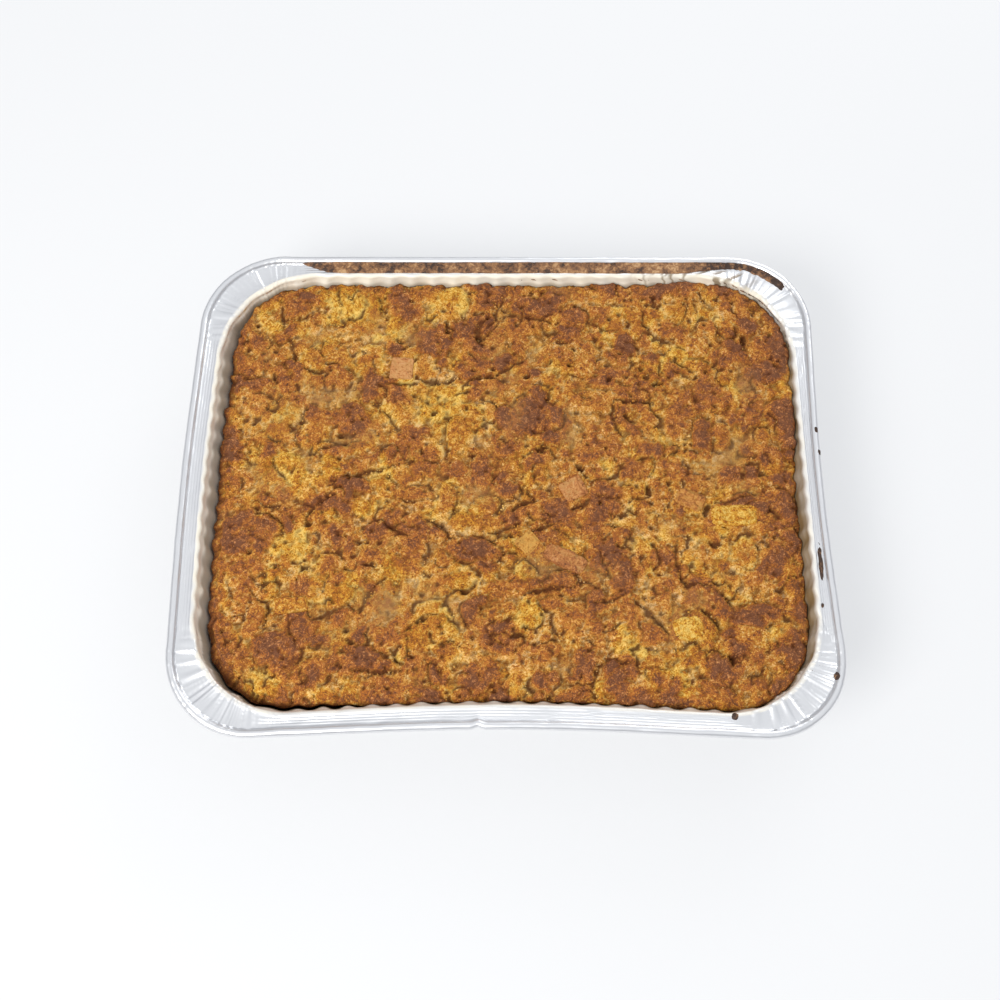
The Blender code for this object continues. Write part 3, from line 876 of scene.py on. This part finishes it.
def tint_bread(x, y, pieces, seed, fields, strength):
    """Stain the fields with each named piece's own tone, through a soft and uneven edge."""
    warp_x, warp_y = warped(x, y, seed, 12.0, 11.0, 4.0, 4.0)
    for kind, at_x, at_y, length, width, turn in pieces:
        edge = superellipse(warp_x - at_x, warp_y - at_y, length, width, turn, 2.2)[0]
        cover = blend(1.25, 0.55, edge) * strength
        for name, value in zip(("baked", "yellow", "custard"), KINDS[kind]):
            fields[name] = fields[name] + cover * (value - fields[name])
        fields["height"] = fields["height"] + cover * KINDS[kind][3] * 0.6
    return fields


place_x, place_y = crust_x - MIDDLE_X, crust_y - MIDDLE_Y


def crust_noise(size, seed, layers=3):
    """Return rough noise over the crust's grid."""
    return rough_noise(place_x, place_y, size, seed, layers)


dome = 1 - np.clip(np.abs(place_x) / 150, 0, 1) ** 3
dome = dome * (1 - np.clip(np.abs(place_y) / 120, 0, 1) ** 3)
base = EDGE_Z + 1.7 * dome + crust_noise(45.0, 3) * 1.6
base = base + np.maximum(1.4 * blend(80.0, 112.0, place_y), swell * blend(0.6, 1.0, ringness))
fields = {"base": base, "height": base - 1.2, "baked": base * 0 + 0.44,
          "yellow": 0.3 + 0.9 * crust_noise(15.0, 29),
          "custard": 0.6 * blend(0.0, 0.2, crust_noise(13.0, 27)), "hollow": base * 0}
fields = {name: values.ravel() for name, values in fields.items()}
flat_x, flat_y = place_x.ravel(), place_y.ravel()
small = [piece for piece in BREAD if min(piece[3:5]) <= 15]
for pieces, seed in ((random_bread(620, 12.0, 27.0, 21), 21), (small, 23),
                     (random_bread(420, 6.0, 12.0, 24), 24)):
    fields = pile_bread(flat_x, flat_y, pieces, seed, fields)
fields = tint_bread(flat_x, flat_y, BREAD, 22, fields, 0.45)
fields = {name: values.reshape(crust_x.shape) for name, values in fields.items()}
print("bread heights in mm:", fields["height"].min().round(1), fields["height"].max().round(1))

# %% [markdown]
# ## The crust, 3: ribbons, cracks and holes
#
# Some crusts lie as long curved ribbons, with a crack running beside them. Each is a short curve,
# and what matters is every point's distance from it: a ribbon is a round ridge and a crack is a
# narrow bell-shaped cut. A hole is a smooth step down inside an oval. All three lower or raise the
# same height, and cracks and holes are painted dark, as painted shade in their depths.

# %% Curves across the crust
RIBBONS = [  # start, middle, end, half-width, rise
    ((-103, 7), (-75, 14), (-44, 18), 2.6, 1.3), ((-50, -83), (-25, -90), (8, -86), 3.0, 1.1),
    ((8, -86), (28, -89), (46, -84), 2.6, 0.9), ((-36, -58), (-3, -57), (44, -49), 3.2, 1.2),
    ((-30, -35), (-19, -43), (-2, -48), 1.8, 1.4), ((-92, 71), (-84, 63), (-77, 57), 2.2, 1.2),
    ((88, 8), (94, -1), (101, -3), 1.6, 1.4), ((118, 24), (126, 33), (134, 37), 2.0, 1.0),
]
CRACKS = [  # start, middle, end, half-width, depth
    ((-80, -95), (-62, -100), (-42, -97), 0.9, 1.8), ((-98, -73), (-84, -70), (-74, -62), 0.8, 1.5),
    ((-98, 14), (-88, 27), (-78, 21), 0.9, 1.8), ((-82, 1), (-73, 6), (-48, 11), 0.9, 2.0),
    ((-100, -21), (-95, -11), (-84, -5), 0.9, 2.0), ((-62, 58), (-55, 56), (-43, 59), 0.8, 2.0),
    ((-44, 60), (-36, 56), (-24, 60), 0.9, 1.8), ((4, -16), (8, -11), (14, -10), 1.0, 2.6),
    ((-8, -27), (3, -27), (8, -21), 0.9, 2.2), ((13, -27), (19, -23), (26, -22), 0.9, 2.0),
    ((34, -15), (40, -14), (44, -8), 0.9, 2.0), ((87, -28), (85, -40), (87, -52), 0.8, 2.0),
    ((85, -49), (90, -56), (96, -53), 1.2, 2.4), ((95, -66), (101, -70), (104, -76), 1.0, 2.2),
    ((104, -10), (102, -13), (101, -18), 1.0, 2.2), ((107, -11), (117, -8), (126, -6), 0.8, 1.6),
    ((62, -60), (72, -69), (80, -79), 0.9, 1.8), ((10, -60), (20, -55), (33, -56), 0.9, 2.0),
    ((44, -62), (54, -64), (60, -58), 0.8, 1.6), ((75, 92), (80, 82), (92, 84), 1.0, 2.0),
    ((87, 66), (93, 60), (101, 60), 0.8, 1.6), ((57, 48), (68, 45), (78, 46), 1.0, 2.2),
    ((57, 48), (55, 38), (60, 28), 0.9, 2.0), ((-12, 79), (-17, 90), (-10, 97), 1.2, 2.2),
    ((12, 73), (3, 66), (-6, 60), 0.8, 1.8), ((-20, 57), (-16, 60), (-8, 61), 1.0, 2.4),
    ((-3, 97), (12, 98), (26, 93), 1.0, 1.8), ((-106, 68), (-98, 61), (-88, 66), 0.9, 1.8),
    ((-118, 90), (-112, 80), (-110, 67), 0.9, 1.4), ((28, -43), (37, -52), (47, -55), 0.9, 1.8),
    ((-40, -18), (-33, -24), (-24, -30), 1.0, 2.2), ((-60, -20), (-55, -25), (-47, -30), 0.9, 2.0),
    ((-58, -50), (-66, -58), (-72, -71), 0.9, 1.8), ((51, -17), (60, -20), (66, -12), 0.8, 1.6),
]
HOLES = [  # x, y, half-length, half-width
    (105, -33, 2.9, 2.4), (73, -4, 1.9, 2.9), (-9, 97, 1.6, 1.4), (-31, 89, 1.3, 1.1),
    (-13, 85, 2.6, 1.5), (-7, 61, 2.0, 1.8), (13, 61, 2.4, 1.4), (19, 18, 2.8, 1.6),
    (-42, 18, 1.2, 2.0), (-99, 18, 1.4, 2.6), (-85, 27, 2.2, 1.2), (-98, -22, 1.8, 1.8),
    (-112, -46, 1.6, 1.0), (-66, -44, 3.2, 1.6), (-76, -78, 1.6, 1.6), (-39, -72, 1.4, 1.2),
    (6, -80, 2.6, 1.4), (-19, -58, 2.4, 1.2), (118, -15, 1.6, 1.6), (110, -91, 1.4, 2.2),
    (75, 61, 2.4, 1.6), (82, 58, 2.4, 1.4), (56, 60, 1.6, 1.4), (49, -11, 1.2, 2.2),
    (34, 68, 1.6, 1.2), (-132, 92, 1.6, 1.0), (-120, 62, 1.2, 2.2), (127, 82, 1.6, 3.0),
    (-35, 40, 1.4, 1.2), (40, 8, 2.4, 1.4),
]


def curve_distance(x, y, start, middle, end):
    """Return the distance to a quadratic curve, and how far along it the nearest point is."""
    nearest, place = np.full(x.shape, 1e9), np.zeros(x.shape)
    for t in np.linspace(0, 1, 17):
        at_x, at_y = ((1 - t) ** 2 * a + 2 * t * (1 - t) * b + t * t * c
                      for a, b, c in zip(start, middle, end))
        away = np.hypot(x - at_x, y - at_y)
        place = np.where(away < nearest, t, place)
        nearest = np.minimum(away, nearest)
    return nearest, place


wander_x, wander_y = place_x + crust_noise(6.0, 91) * 3.5, place_y + crust_noise(6.0, 95) * 3.5
height = fields["height"]
for start, middle, end, half, rise in RIBBONS:
    away, place = curve_distance(wander_x, wander_y, start, middle, end)
    taper = np.sin(math.pi * (0.08 + 0.84 * place))
    ridge = np.clip(1 - (away / half) ** 2, 0, 1) * taper
    height = height + rise * ridge
    fields["custard"] = fields["custard"] * (1 - ridge)
    fields["baked"] = fields["baked"] + 0.08 * ridge
# Cracks and holes are cut down and painted dark: painted shade in their depths.
for start, middle, end, half, depth in CRACKS:
    away, place = curve_distance(wander_x, wander_y, start, middle, end)
    split = np.exp(-(away / (half * (0.4 + np.sin(math.pi * place)))) ** 2)
    height = height - depth * split
    fields["hollow"] = np.maximum(fields["hollow"], split)
for at_x, at_y, half_long, half_wide in HOLES:
    edge = np.hypot((wander_x - at_x) / half_long, (wander_y - at_y) / half_wide)
    pit = 1 - blend(0.55, 1.25, edge)
    height = height - 2.6 * pit
    fields["hollow"] = np.maximum(fields["hollow"], pit)
print("ribbons, cracks, holes:", len(RIBBONS), len(CRACKS), len(HOLES))

# %% [markdown]
# ## Where clean pieces lie
#
# Eleven pieces of bread keep a clean shape, and each is a solid of its own in the plain model. They
# come later, but the crust has to know where they sit, so their sizes are set down here. A blended
# piece wears the crust's own finish, and the others are paler and smoother.

# %% Where clean pieces lie
PIECES = [  # node, x, y, length, width, turn, squareness, baked, yellow, ridges, tilt, blended in
    ("pale_bread_cube", -55.3, 66.1, 12.0, 12.5, -4.0, 0.18, 0.14, 0.0, 0, 2, False),
    ("soft_bread_block", 41.1, 68.7, 11.5, 15.0, -6.0, 0.50, 0.50, 0.0, 0, -3, True),
    ("tipped_bread_cube", 33.4, -2.5, 12.5, 11.0, 28.0, 0.24, 0.30, 0.0, 0, 8, False),
    ("diamond_bread_cube", 10.5, -31.8, 10.5, 9.8, 42.0, 0.22, 0.12, 0.6, 0, 5, False),
    ("long_bread_block", 28.8, -40.2, 22.0, 9.5, -27.0, 0.42, 0.44, 0.0, 0, -4, False),
    ("ridged_bread_stick", -105.1, -64.4, 16.5, 8.5, 4.0, 0.34, 0.50, 0.2, 2, 0, True),
    ("tan_bread_block", 92.5, -8.4, 14.5, 9.5, -24.0, 0.30, 0.40, 0.3, 3, 3, False),
    ("golden_bread_block", 114.0, -17.0, 23.5, 11.5, 2.0, 0.42, 0.34, 0.6, 0, -2, True),
    ("yellow_bread_knob", 88.0, -75.6, 15.0, 12.5, 6.0, 0.60, 0.26, 0.7, 0, 2, True),
    ("orange_bread_block", 116.9, -78.5, 13.5, 8.5, -8.0, 0.42, 0.52, 0.0, 0, 3, True),
    ("round_bread_knob", 100.8, 79.6, 13.5, 12.5, 0.0, 0.70, 0.50, 0.0, 0, -2, True),
]
print("clean pieces:", len(PIECES))

# %% [markdown]
# ## Crumb, bubbles and hollows
#
# Bubbles leave pits, and the whole face is sandy with crumb. The crust is pressed down a little
# under each clean piece, so that the piece sits in it. Last, hollows are found by comparing each
# point with the average round it: what lies lower gets less light.

# %% Crumb, bubbles and hollows
firm = 1 - 0.35 * fields["custard"]
away, chance = cell_noise(place_x, place_y, 5.5, 41)
bubbles = (1 - blend(0.3, 1.0 + 0.9 * chance, away)) * (chance > 0.86) * firm
away, chance = cell_noise(place_x, place_y, 2.6, 43)
specks = (1 - blend(0.2, 1.0, away)) * (chance > 0.86) * firm
crumb = crust_noise(5.0, 61) * 1.9 + crust_noise(2.2, 65, 2) * 2.6
height = height + crumb * firm + crust_noise(14.0, 71) * 1.0
height = height - 1.3 * bubbles - 0.6 * specks
# The pits of bubbles and specks are painted dark: painted shade.
fields["hollow"] = np.maximum(fields["hollow"], 0.7 * bubbles + 0.3 * specks)


def neighbourhood(values, reach):
    """Average each value with those up to reach cells away, along rows and then columns."""
    for axis in (0, 1):
        padded = np.concatenate([np.repeat(values.take([0], axis), reach, axis), values,
                                 np.repeat(values.take([-1], axis), reach, axis)], axis)
        total = np.cumsum(np.insert(padded, 0, 0.0, axis), axis)
        size = values.shape[axis]
        span = 2 * reach + 1
        ahead, behind = np.arange(span, span + size), np.arange(size)
        values = (total.take(ahead, axis) - total.take(behind, axis)) / span
    return values


edge_drop = blend(0.972, 1.0, ringness)
height = height - 1.3 * edge_drop ** 2
SWOLLEN = [(90, 116, 2.2, 10), (-13, 117, 2.0, 8), (40, 115, 1.2, 14), (80, 114, 1.2, 10)]
for at_x, at_y, rise, reach in SWOLLEN:
    height = height + rise * np.exp(-((crust_x - at_x) ** 2 + (crust_y - at_y) ** 2) / reach ** 2)
levels = []
for node, at_x, at_y, length, width, turn, *_ in PIECES:
    edge = superellipse(crust_x - at_x, crust_y - at_y, length, width, turn, 4.0)[0]
    levels.append(float(np.percentile(height[edge < 1.3], 75)))
    height = height - np.clip(height - levels[-1] + 0.7, 0, 3) * blend(1.12, 0.98, edge)
low = neighbourhood(height, 3) - height
broad = neighbourhood(height, 9) - height
shaded = np.clip(low / 1.4, -0.05, 0.45) + np.clip(broad / 4.5, -0.05, 0.22)
hollow = np.clip(fields["hollow"] * 0.8 + shaded, 0, 0.9)
fields["baked"] = 0.4 * fields["baked"] + 0.6 * neighbourhood(fields["baked"], 2)
fields["custard"] = neighbourhood(neighbourhood(fields["custard"], 2), 1)
fields["yellow"] = neighbourhood(fields["yellow"], 1) + crust_noise(9.0, 83) * 0.7
high_spots = np.clip(-broad / 4.0, -0.12, 0.16)
baked = fields["baked"] + 0.04 + high_spots + 0.16 * blend(0.93, 1.0, ringness)
baked = np.clip(baked + crust_noise(22.0, 77) * 0.24 + crust_noise(3.4, 79) * 0.6, 0, 1)
print("crust heights in mm:", height.min().round(1), height.max().round(1))

# %% [markdown]
# ## The crust, 4: one closed body
#
# The crust is only the top. The body carries on down inside the pan's wall to the floor, with a
# thin dark gap where it has shrunk from the foil, so that it's one closed solid like the real one.

# %% The pudding's body
def border(grid):
    """Return a grid's outer edge, anticlockwise, starting at its first corner."""
    return np.concatenate([grid[0, :-1], grid[:-1, -1], grid[-1, :0:-1], grid[:0:-1, 0]])


numbers = np.arange(crust_x.size).reshape(crust_x.shape)
edge_numbers = border(numbers)
edge_z = border(height)
edge_path = [border(hub_x), border(hub_y), border(out_angle)]
edge_press = border(press)
crust_points = np.stack([place_x, place_y, height], axis=-1).reshape(-1, 3)
sides = []
for fall in (0.05, 0.13, 0.25, 0.5, 0.8, 0.93, 0.985):
    z = edge_z + (1.2 - edge_z) * fall
    gap = 0.8 + 0.6 * blend(30.0, 45.0, z)
    inset = wall_inset(np.maximum(z, 4.6)) + gap + 2.4 * blend(4.6, 1.2, z) ** 2
    x, y = place_ring(edge_path, inset, wall_corner(z) - 1.5, LIP_BEND * np.minimum(1.0, z / 45.0))
    push = 1.2 * edge_press * blend(2.0, 6.0, z)
    sides.append(np.stack([x - push * np.cos(edge_path[2]) - MIDDLE_X,
                           y - push * np.sin(edge_path[2]) - MIDDLE_Y, z], axis=-1))
around = len(edge_numbers)
side_start = len(crust_points)
side_faces = [grid_faces(len(sides), around, closed_columns=True, start=side_start)[:, ::-1]]
first = side_start + np.arange(around)
side_faces.append(np.stack([edge_numbers, first, np.roll(first, -1), np.roll(edge_numbers, -1)], axis=1))
last = side_start + (len(sides) - 1) * around + np.arange(around)
hub = side_start + len(sides) * around
side_faces.append(fan_faces(last, hub, outward=False))
body_points = np.concatenate([crust_points] + sides + [np.array([[0.0, 0.0, 1.2]])])
pudding = make_piece("pudding_crust", body_points,
                     [grid_faces(*crust_x.shape)] + side_faces, crust, "baked_pudding", "pudding")
below = len(body_points) - len(crust_points)
# The body's sides lie down in the gap by the foil and get painted shade, at 0.6.
looks = {"baked": (baked, 0.75), "yellow": (fields["yellow"], 0.0),
         "custard": (fields["custard"], 0.0), "hollow": (hollow, 0.6)}
paint(pudding, **{name: np.append(top, np.full(below, side)) for name, (top, side) in looks.items()})

# %% [markdown]
# ## Bread pieces that stand out
#
# Eleven pieces keep clean shapes of their own: cubes with crisp corners, a ridged stick, soft knobs.
# A *superellipsoid* covers them all. It's a sphere whose sines and cosines are raised to a power
# below one, which squares it up, and a little noise along its surface makes it crumb.

# %% The bread pieces
def power(value, exponent):
    """Raise the size of a value to a power and keep its sign."""
    return np.sign(value) * np.abs(value) ** exponent


def soft_block(length, width, deep, squareness, seed, ridges, rows=64, columns=112):
    """Return a superellipsoid's points, with crumb noise, and its faces, closed at both poles."""
    swing, rise = np.meshgrid(np.arange(columns) / columns * 2 * math.pi,
                              (np.arange(rows) + 0.5) / rows * math.pi - math.pi / 2)
    flat = power(np.cos(rise), squareness)
    x = flat * power(np.cos(swing), squareness)
    y = flat * power(np.sin(swing), squareness)
    z = power(np.sin(rise), squareness)
    grain = rough_noise(x * length + z * 9, y * width - z * 7, 4.0, seed) * 1.5
    fine = rough_noise(x * length * 1.1 - z * 5, y * width + z * 6, 1.5, seed + 9, 2) * 0.8
    crest = 0.35 * np.cos(y * math.pi * (ridges + 0.5)) * (ridges > 0) * (z > 0.5)
    grow = (grain + fine) / deep
    points = np.stack([x * length / 2 * (1 + grow * 0.5), y * width / 2 * (1 + grow * 0.5),
                       z * deep / 2 + (grain + fine) * (z > 0.4) * 0.8 + crest], axis=-1)
    return (*closed_tube(points), np.append(grain + fine, [0, 0]))


def turned(points, degrees, first, second):
    """Turn points by an angle in the plane of two axes."""
    swing, matrix = math.radians(degrees), np.eye(3)
    matrix[[first, second], [first, second]] = math.cos(swing)
    matrix[first, second], matrix[second, first] = math.sin(swing), -math.sin(swing)
    return points @ matrix


for seed, row in enumerate(PIECES):
    node, x, y, length, width, turn, square, piece_baked, piece_yellow, ridges, tilt, blended = row
    points, faces, tone = soft_block(length, width, 7.0, square, 200 + seed * 7, ridges)
    points = turned(turned(points, tilt, 1, 2), turn, 0, 1)
    points = points + np.array([x - MIDDLE_X, y - MIDDLE_Y, levels[seed] - 3.0])
    piece = make_piece(node + "_crumb", points, faces, crust if blended else pale_bread,
                       "toasted_bread", node)
    # Dips in a piece's crumb are painted darker: painted shade.
    paint(piece, baked=np.clip(piece_baked + tone * 0.55, 0, 1), custard=0.0,
          yellow=np.clip(piece_yellow + 0.2 - tone * 0.3, 0, 1), hollow=np.clip(-tone * 0.5, 0, 0.5))

# %% [markdown]
# ## Loose crumb
#
# Torn bread leaves crumbs all over the crust. Each is one lump of twenty faces, and thousands of
# them are one mesh: the lump's points are turned, scaled and moved for all crumbs at once.

# %% Scatter crumbs
def lump():
    """Return an icosahedron of radius 1: twelve points on three golden rectangles."""
    g = (1 + 5 ** 0.5) / 2
    corners = []
    for a in (-1, 1):
        for b in (-g, g):
            corners += [(a, b, 0), (0, a, b), (b, 0, a)]
    corners = np.array(corners, dtype=float)
    faces = []
    for i, j, k in itertools.combinations(range(12), 3):
        a, b, c = corners[[i, j, k]]
        if max(np.linalg.norm(a - b), np.linalg.norm(b - c), np.linalg.norm(c - a)) < 2.02:
            faces.append((i, j, k) if np.cross(b - a, c - a) @ a > 0 else (i, k, j))
    return corners / np.linalg.norm(corners[0]), np.array(faces)


def scatter(name, count, low, high, seed, darker):
    """Set many uneven lumps into the crust, and give each the crust's colour nearby."""
    chance = np.random.default_rng(seed)
    shape, faces = lump()
    likely = 0.3 + value_noise(place_x, place_y, 12.0, seed) ** 2
    likely = (likely * (ringness < 0.985) * (1.02 - fields["custard"])).ravel()
    spots = chance.choice(crust_x.size, count, replace=False, p=likely / likely.sum())
    size = low + (high - low) * chance.random(count) ** 2
    turns = np.linalg.qr(chance.normal(size=(count, 3, 3)))[0]
    turns[np.linalg.det(turns) < 0, :, 0] *= -1
    stretch = chance.uniform(0.6, 1.3, (count, 1, 3))
    uneven = chance.uniform(0.75, 1.2, (count, 12, 1))
    lumps = (shape[None] * stretch * uneven) @ turns
    lumps[..., 2] *= 0.8
    places = crust_points[spots] + np.array([0, 0, -0.15]) * size[:, None]
    points = (lumps * size[:, None, None] + places[:, None, :]).reshape(-1, 3)
    all_faces = (faces[None] + 12 * np.arange(count)[:, None, None]).reshape(-1, 3)
    piece = make_piece(name, points, [all_faces], crust, "baked_pudding")
    tone = np.clip(baked.ravel()[spots] + darker + chance.normal(0, 0.1, count), 0, 1)
    paint(piece, baked=np.repeat(tone, len(shape)), custard=0.0, hollow=0.0,
          yellow=np.repeat(fields["yellow"].ravel()[spots], len(shape)))


scatter("golden_crumbs", 4000, 0.3, 0.8, 301, 0.0)
scatter("toasted_crumbs", 3000, 0.3, 1.0, 302, 0.1)

# %% [markdown]
# ## The spill on the rim
#
# Custard boiled over at the back and burned onto the shelf. It's a thin skin that follows the foil:
# the pan's own points, lifted by a thickness that sinks below the foil where the spill ends, so its
# ragged edge is cut by the foil itself.

# %% Finish: burnt spill
burnt, tree, shader = new_finish("burnt_spill")
grain = use_group(tree, crumb_grain,
                  {"Vector": object_vector(tree), "Grain Scale": 520.0, "Curl": 0.8})
# As in the crust, the fleck colour is partly a painted highlight and the darkest colour is for painted
# shade.
BURNT = {"Pale": (192, 154, 112), "Golden": (156, 114, 76), "Brown": (116, 82, 58),
         "Scorched": (64, 48, 40), "Fleck": (166, 130, 92), "Hollow": (40, 26, 18)}
shade = use_group(tree, baked_colour, {**tints(BURNT), "Baked": painted(tree, "baked"),
                                       "Grain": grain["Grain"], "Flecks": grain["Flecks"]})
feed(tree, shader, {"Base Color": shade["Color"], "Roughness": 0.6, "Specular IOR Level": 0.3,
                    "Normal": bumped(tree, grain["Height"], 0.0004, 0.6)})
print("burnt spill nodes:", len(tree.nodes))

# %% [markdown]
# ## The spill's surface
#
# The same function lays the long spill and the small drips, from a function of their own that says
# how much covers each place. Where nothing lies, the skin runs inside the foil's thickness, where
# neither side shows.

# %% The spill's surface
SUNK, UNDER = 0.22, 0.26


def lay_spill(name, steps_low, steps_high, row_low, row_high, cover, seed, filled):
    """Lift part of the pan's surface by a cover (0 none, 1 full) and close it underneath."""
    fine_path = [part[(pan_path[3] >= steps_low) & (pan_path[3] <= steps_high)] for part in pan_path]
    rows = inner[row_low:row_high]
    dense = np.linspace(0, len(rows) - 1, 3 * len(rows))
    rows = np.stack([np.interp(dense, np.arange(len(rows)), rows[:, k]) for k in range(6)], axis=1)
    ground = pan_points(rows, fine_path)
    x, y = ground[..., 0] + MIDDLE_X, ground[..., 1] + MIDDLE_Y
    amount = cover(fine_path[3][None, :], rows[:, 0, None], x, y)
    on_shelf = np.abs(rows[:, 0, None] - (SHELF_IN + SHELF_OUT) / 2) < 2.8
    hollow_fill = filled * np.clip(lip_z - 0.2 - rows[:, 1, None], 0, 0.5) * on_shelf
    thick = amount * (0.7 + 0.8 * rough_noise(x, y, 3.0, seed) + hollow_fill) - SUNK
    upper, lower = ground.copy(), ground.copy()
    upper[..., 2] += np.clip(thick, -SUNK, 1.0)
    lower[..., 2] -= UNDER
    shape = upper.shape[:2]
    total = shape[0] * shape[1]
    ring = border(np.arange(total).reshape(shape))
    wall = np.stack([ring, np.roll(ring, -1), np.roll(ring, -1) + total, ring + total], axis=1)
    faces = [grid_faces(*shape)[:, ::-1], grid_faces(*shape, start=total), wall]
    points = np.concatenate([upper.reshape(-1, 3), lower.reshape(-1, 3)])
    piece = make_piece(name, points, faces, burnt, "baked_pudding")
    ends = 0.35 * blend(80.0, 118.0, np.abs(x - 6.0)) + 0.4 * (not filled)
    tone = 0.5 + ends + rough_noise(x, y, 26.0, seed + 5) * 0.5
    tone = tone + rough_noise(x, y, 4.0, seed + 9) * 0.9
    paint(piece, baked=np.tile(np.clip(tone, 0, 1).ravel(), 2))


shelf_start = int(np.argmax(inner[:, 1] > lip_z - 1.9))
bead_start = len(inner) - BEAD_ROWS


def back_spill(steps, inset, x, y):
    """Cover the back shelf between two ends, thinning where the shelf meets lip and bead."""
    along = blend(31.2, 32.4, steps) * blend(70.9, 70.1, steps)
    narrow = 4.2 * blend(38.5, 34.0, steps)
    across = blend(10.3 - narrow, 9.5 - narrow, inset) * blend(3.5, 4.6, inset)
    ragged = 0.85 + 0.9 * rough_noise(x, y, 5.0, 401)
    return np.clip(along * across * ragged * 1.6, 0, 1)


lay_spill("back_spill", 28, 72, shelf_start - 3, bead_start + 5, back_spill, 401, True)
SPOTS = [  # x, y, half-length across and along
    (157.6, 27.3, 1.0, 1.3), (158.2, 14.9, 0.9, 0.9), (153.6, -44.0, 1.1, 8.6),
    (155.6, -101.0, 1.3, 2.0), (152.5, -66.0, 0.7, 0.9), (106.4, -120.3, 1.4, 1.9)]


def rim_spots(steps, inset, x, y):
    """Cover small drips: each is a soft oval."""
    amount = np.zeros(x.shape)
    for at_x, at_y, half_x, half_y in SPOTS:
        away = np.hypot((x - at_x) / half_x, (y - at_y) / half_y)
        away = away + rough_noise(x, y, 2.0, 431) * 0.9
        amount = np.maximum(amount, 1 - blend(0.6, 1.3, away))
    return amount * 0.9


lay_spill("right_drips", 0, 28, shelf_start, bead_start + 8, rim_spots, 421, False)
lay_spill("corner_drips", 148, 159.9, shelf_start, bead_start + 8, rim_spots, 423, False)

# %% [markdown]
# ## Stage and light
#
# A pale floor that glows a little stands in for a bright studio. The sky gets lighter towards the
# top. A wide soft key light from the front left shows the crust's relief without hard shadows, and a
# weaker one from the back right gives the foil something bright to reflect.

# %% Stage
floor_mesh = bpy.data.meshes.new("floor")
floor_mesh.from_pydata([(-3, -3, 0), (3, -3, 0), (3, 3, 0), (-3, 3, 0)], [], [(0, 1, 2, 3)])
floor = bpy.data.objects.new("floor", floor_mesh)
bpy.context.scene.collection.objects.link(floor)
floor_finish, tree, shader = new_finish("pale_floor")
feed(tree, shader, {"Base Color": (0.36, 0.36, 0.365, 1.0), "Roughness": 0.9,
                    "Specular IOR Level": 0.1, "Emission Color": (0.97, 0.985, 1.0, 1.0),
                    "Emission Strength": 0.5})
floor_mesh.materials.append(floor_finish)

world = bpy.data.worlds.new("studio")
bpy.context.scene.world = world
world.use_nodes = True
tree = world.node_tree
ways = add(tree, "ShaderNodeTexCoord").outputs["Generated"]
up = feed(tree, add(tree, "ShaderNodeSeparateXYZ"), {0: ways}).outputs["Z"]
sky = mix(tree, ramp(tree, up, 0.1, 0.75), (0.42, 0.43, 0.46, 1.0), (0.95, 0.97, 1.0, 1.0))
feed(tree, tree.nodes["Background"], {"Color": sky, "Strength": 0.86})


def soft_light(name, place, aim, size, watts, colour=(1.0, 1.0, 1.0)):
    """Add a square area light at a place, facing an aim."""
    lamp = bpy.data.lights.new(name, "AREA")
    lamp.size = size
    lamp.energy = watts
    lamp.color = colour
    holder = bpy.data.objects.new(name, lamp)
    holder.location = place
    direction = np.array(aim, dtype=float) - np.array(place, dtype=float)
    level = math.hypot(direction[0], direction[1])
    holder.rotation_euler = (math.atan2(level, -direction[2]), 0.0,
                             math.atan2(-direction[0], direction[1]))
    bpy.context.scene.collection.objects.link(holder)
    print(name, "watts:", watts)


soft_light("key_light", (-0.65, -0.75, 1.05), (0.0, 0.0, 0.05), 0.6, 14.2, (1.0, 0.99, 0.96))
soft_light("back_light", (0.45, 0.95, 0.60), (0.0, 0.0, 0.05), 0.7, 3.4, (0.97, 0.99, 1.0))

# %% [markdown]
# ## The camera
#
# The camera stands in front and looks steeply down. It backs away from a point on the rim's level
# along a direction given by an elevation and an azimuth. Then it rolls by a fifth of a degree.

# %% Camera
ELEVATION, AZIMUTH, ROLL = (math.radians(angle) for angle in (67.18, 0.35, -0.21))
DISTANCE, AIM_X, AIM_Y, SENSOR, LENS_SHARE = 0.63885, -3.44, -11.02, 36.0, 1.2789
aim = np.array([AIM_X - MIDDLE_X, AIM_Y - MIDDLE_Y, PAN_HEIGHT - BEAD]) / 1000
level = math.cos(ELEVATION)
backwards = np.array([math.sin(AZIMUTH) * level, -math.cos(AZIMUTH) * level, math.sin(ELEVATION)])
lens = bpy.data.cameras.new("camera")
lens.sensor_width, lens.lens, lens.clip_start = SENSOR, SENSOR * LENS_SHARE, 0.02
camera = bpy.data.objects.new("camera", lens)
camera.location = aim + backwards * DISTANCE
tipped = Euler((math.pi / 2 - ELEVATION, 0.0, AZIMUTH)).to_matrix()
camera.rotation_euler = (tipped @ Matrix.Rotation(ROLL, 3, "Z")).to_euler()
bpy.context.scene.collection.objects.link(camera)
bpy.context.scene.camera = camera
bpy.context.scene.view_settings.view_transform = "Standard"
print("camera at, in m:", np.array(camera.location).round(3))
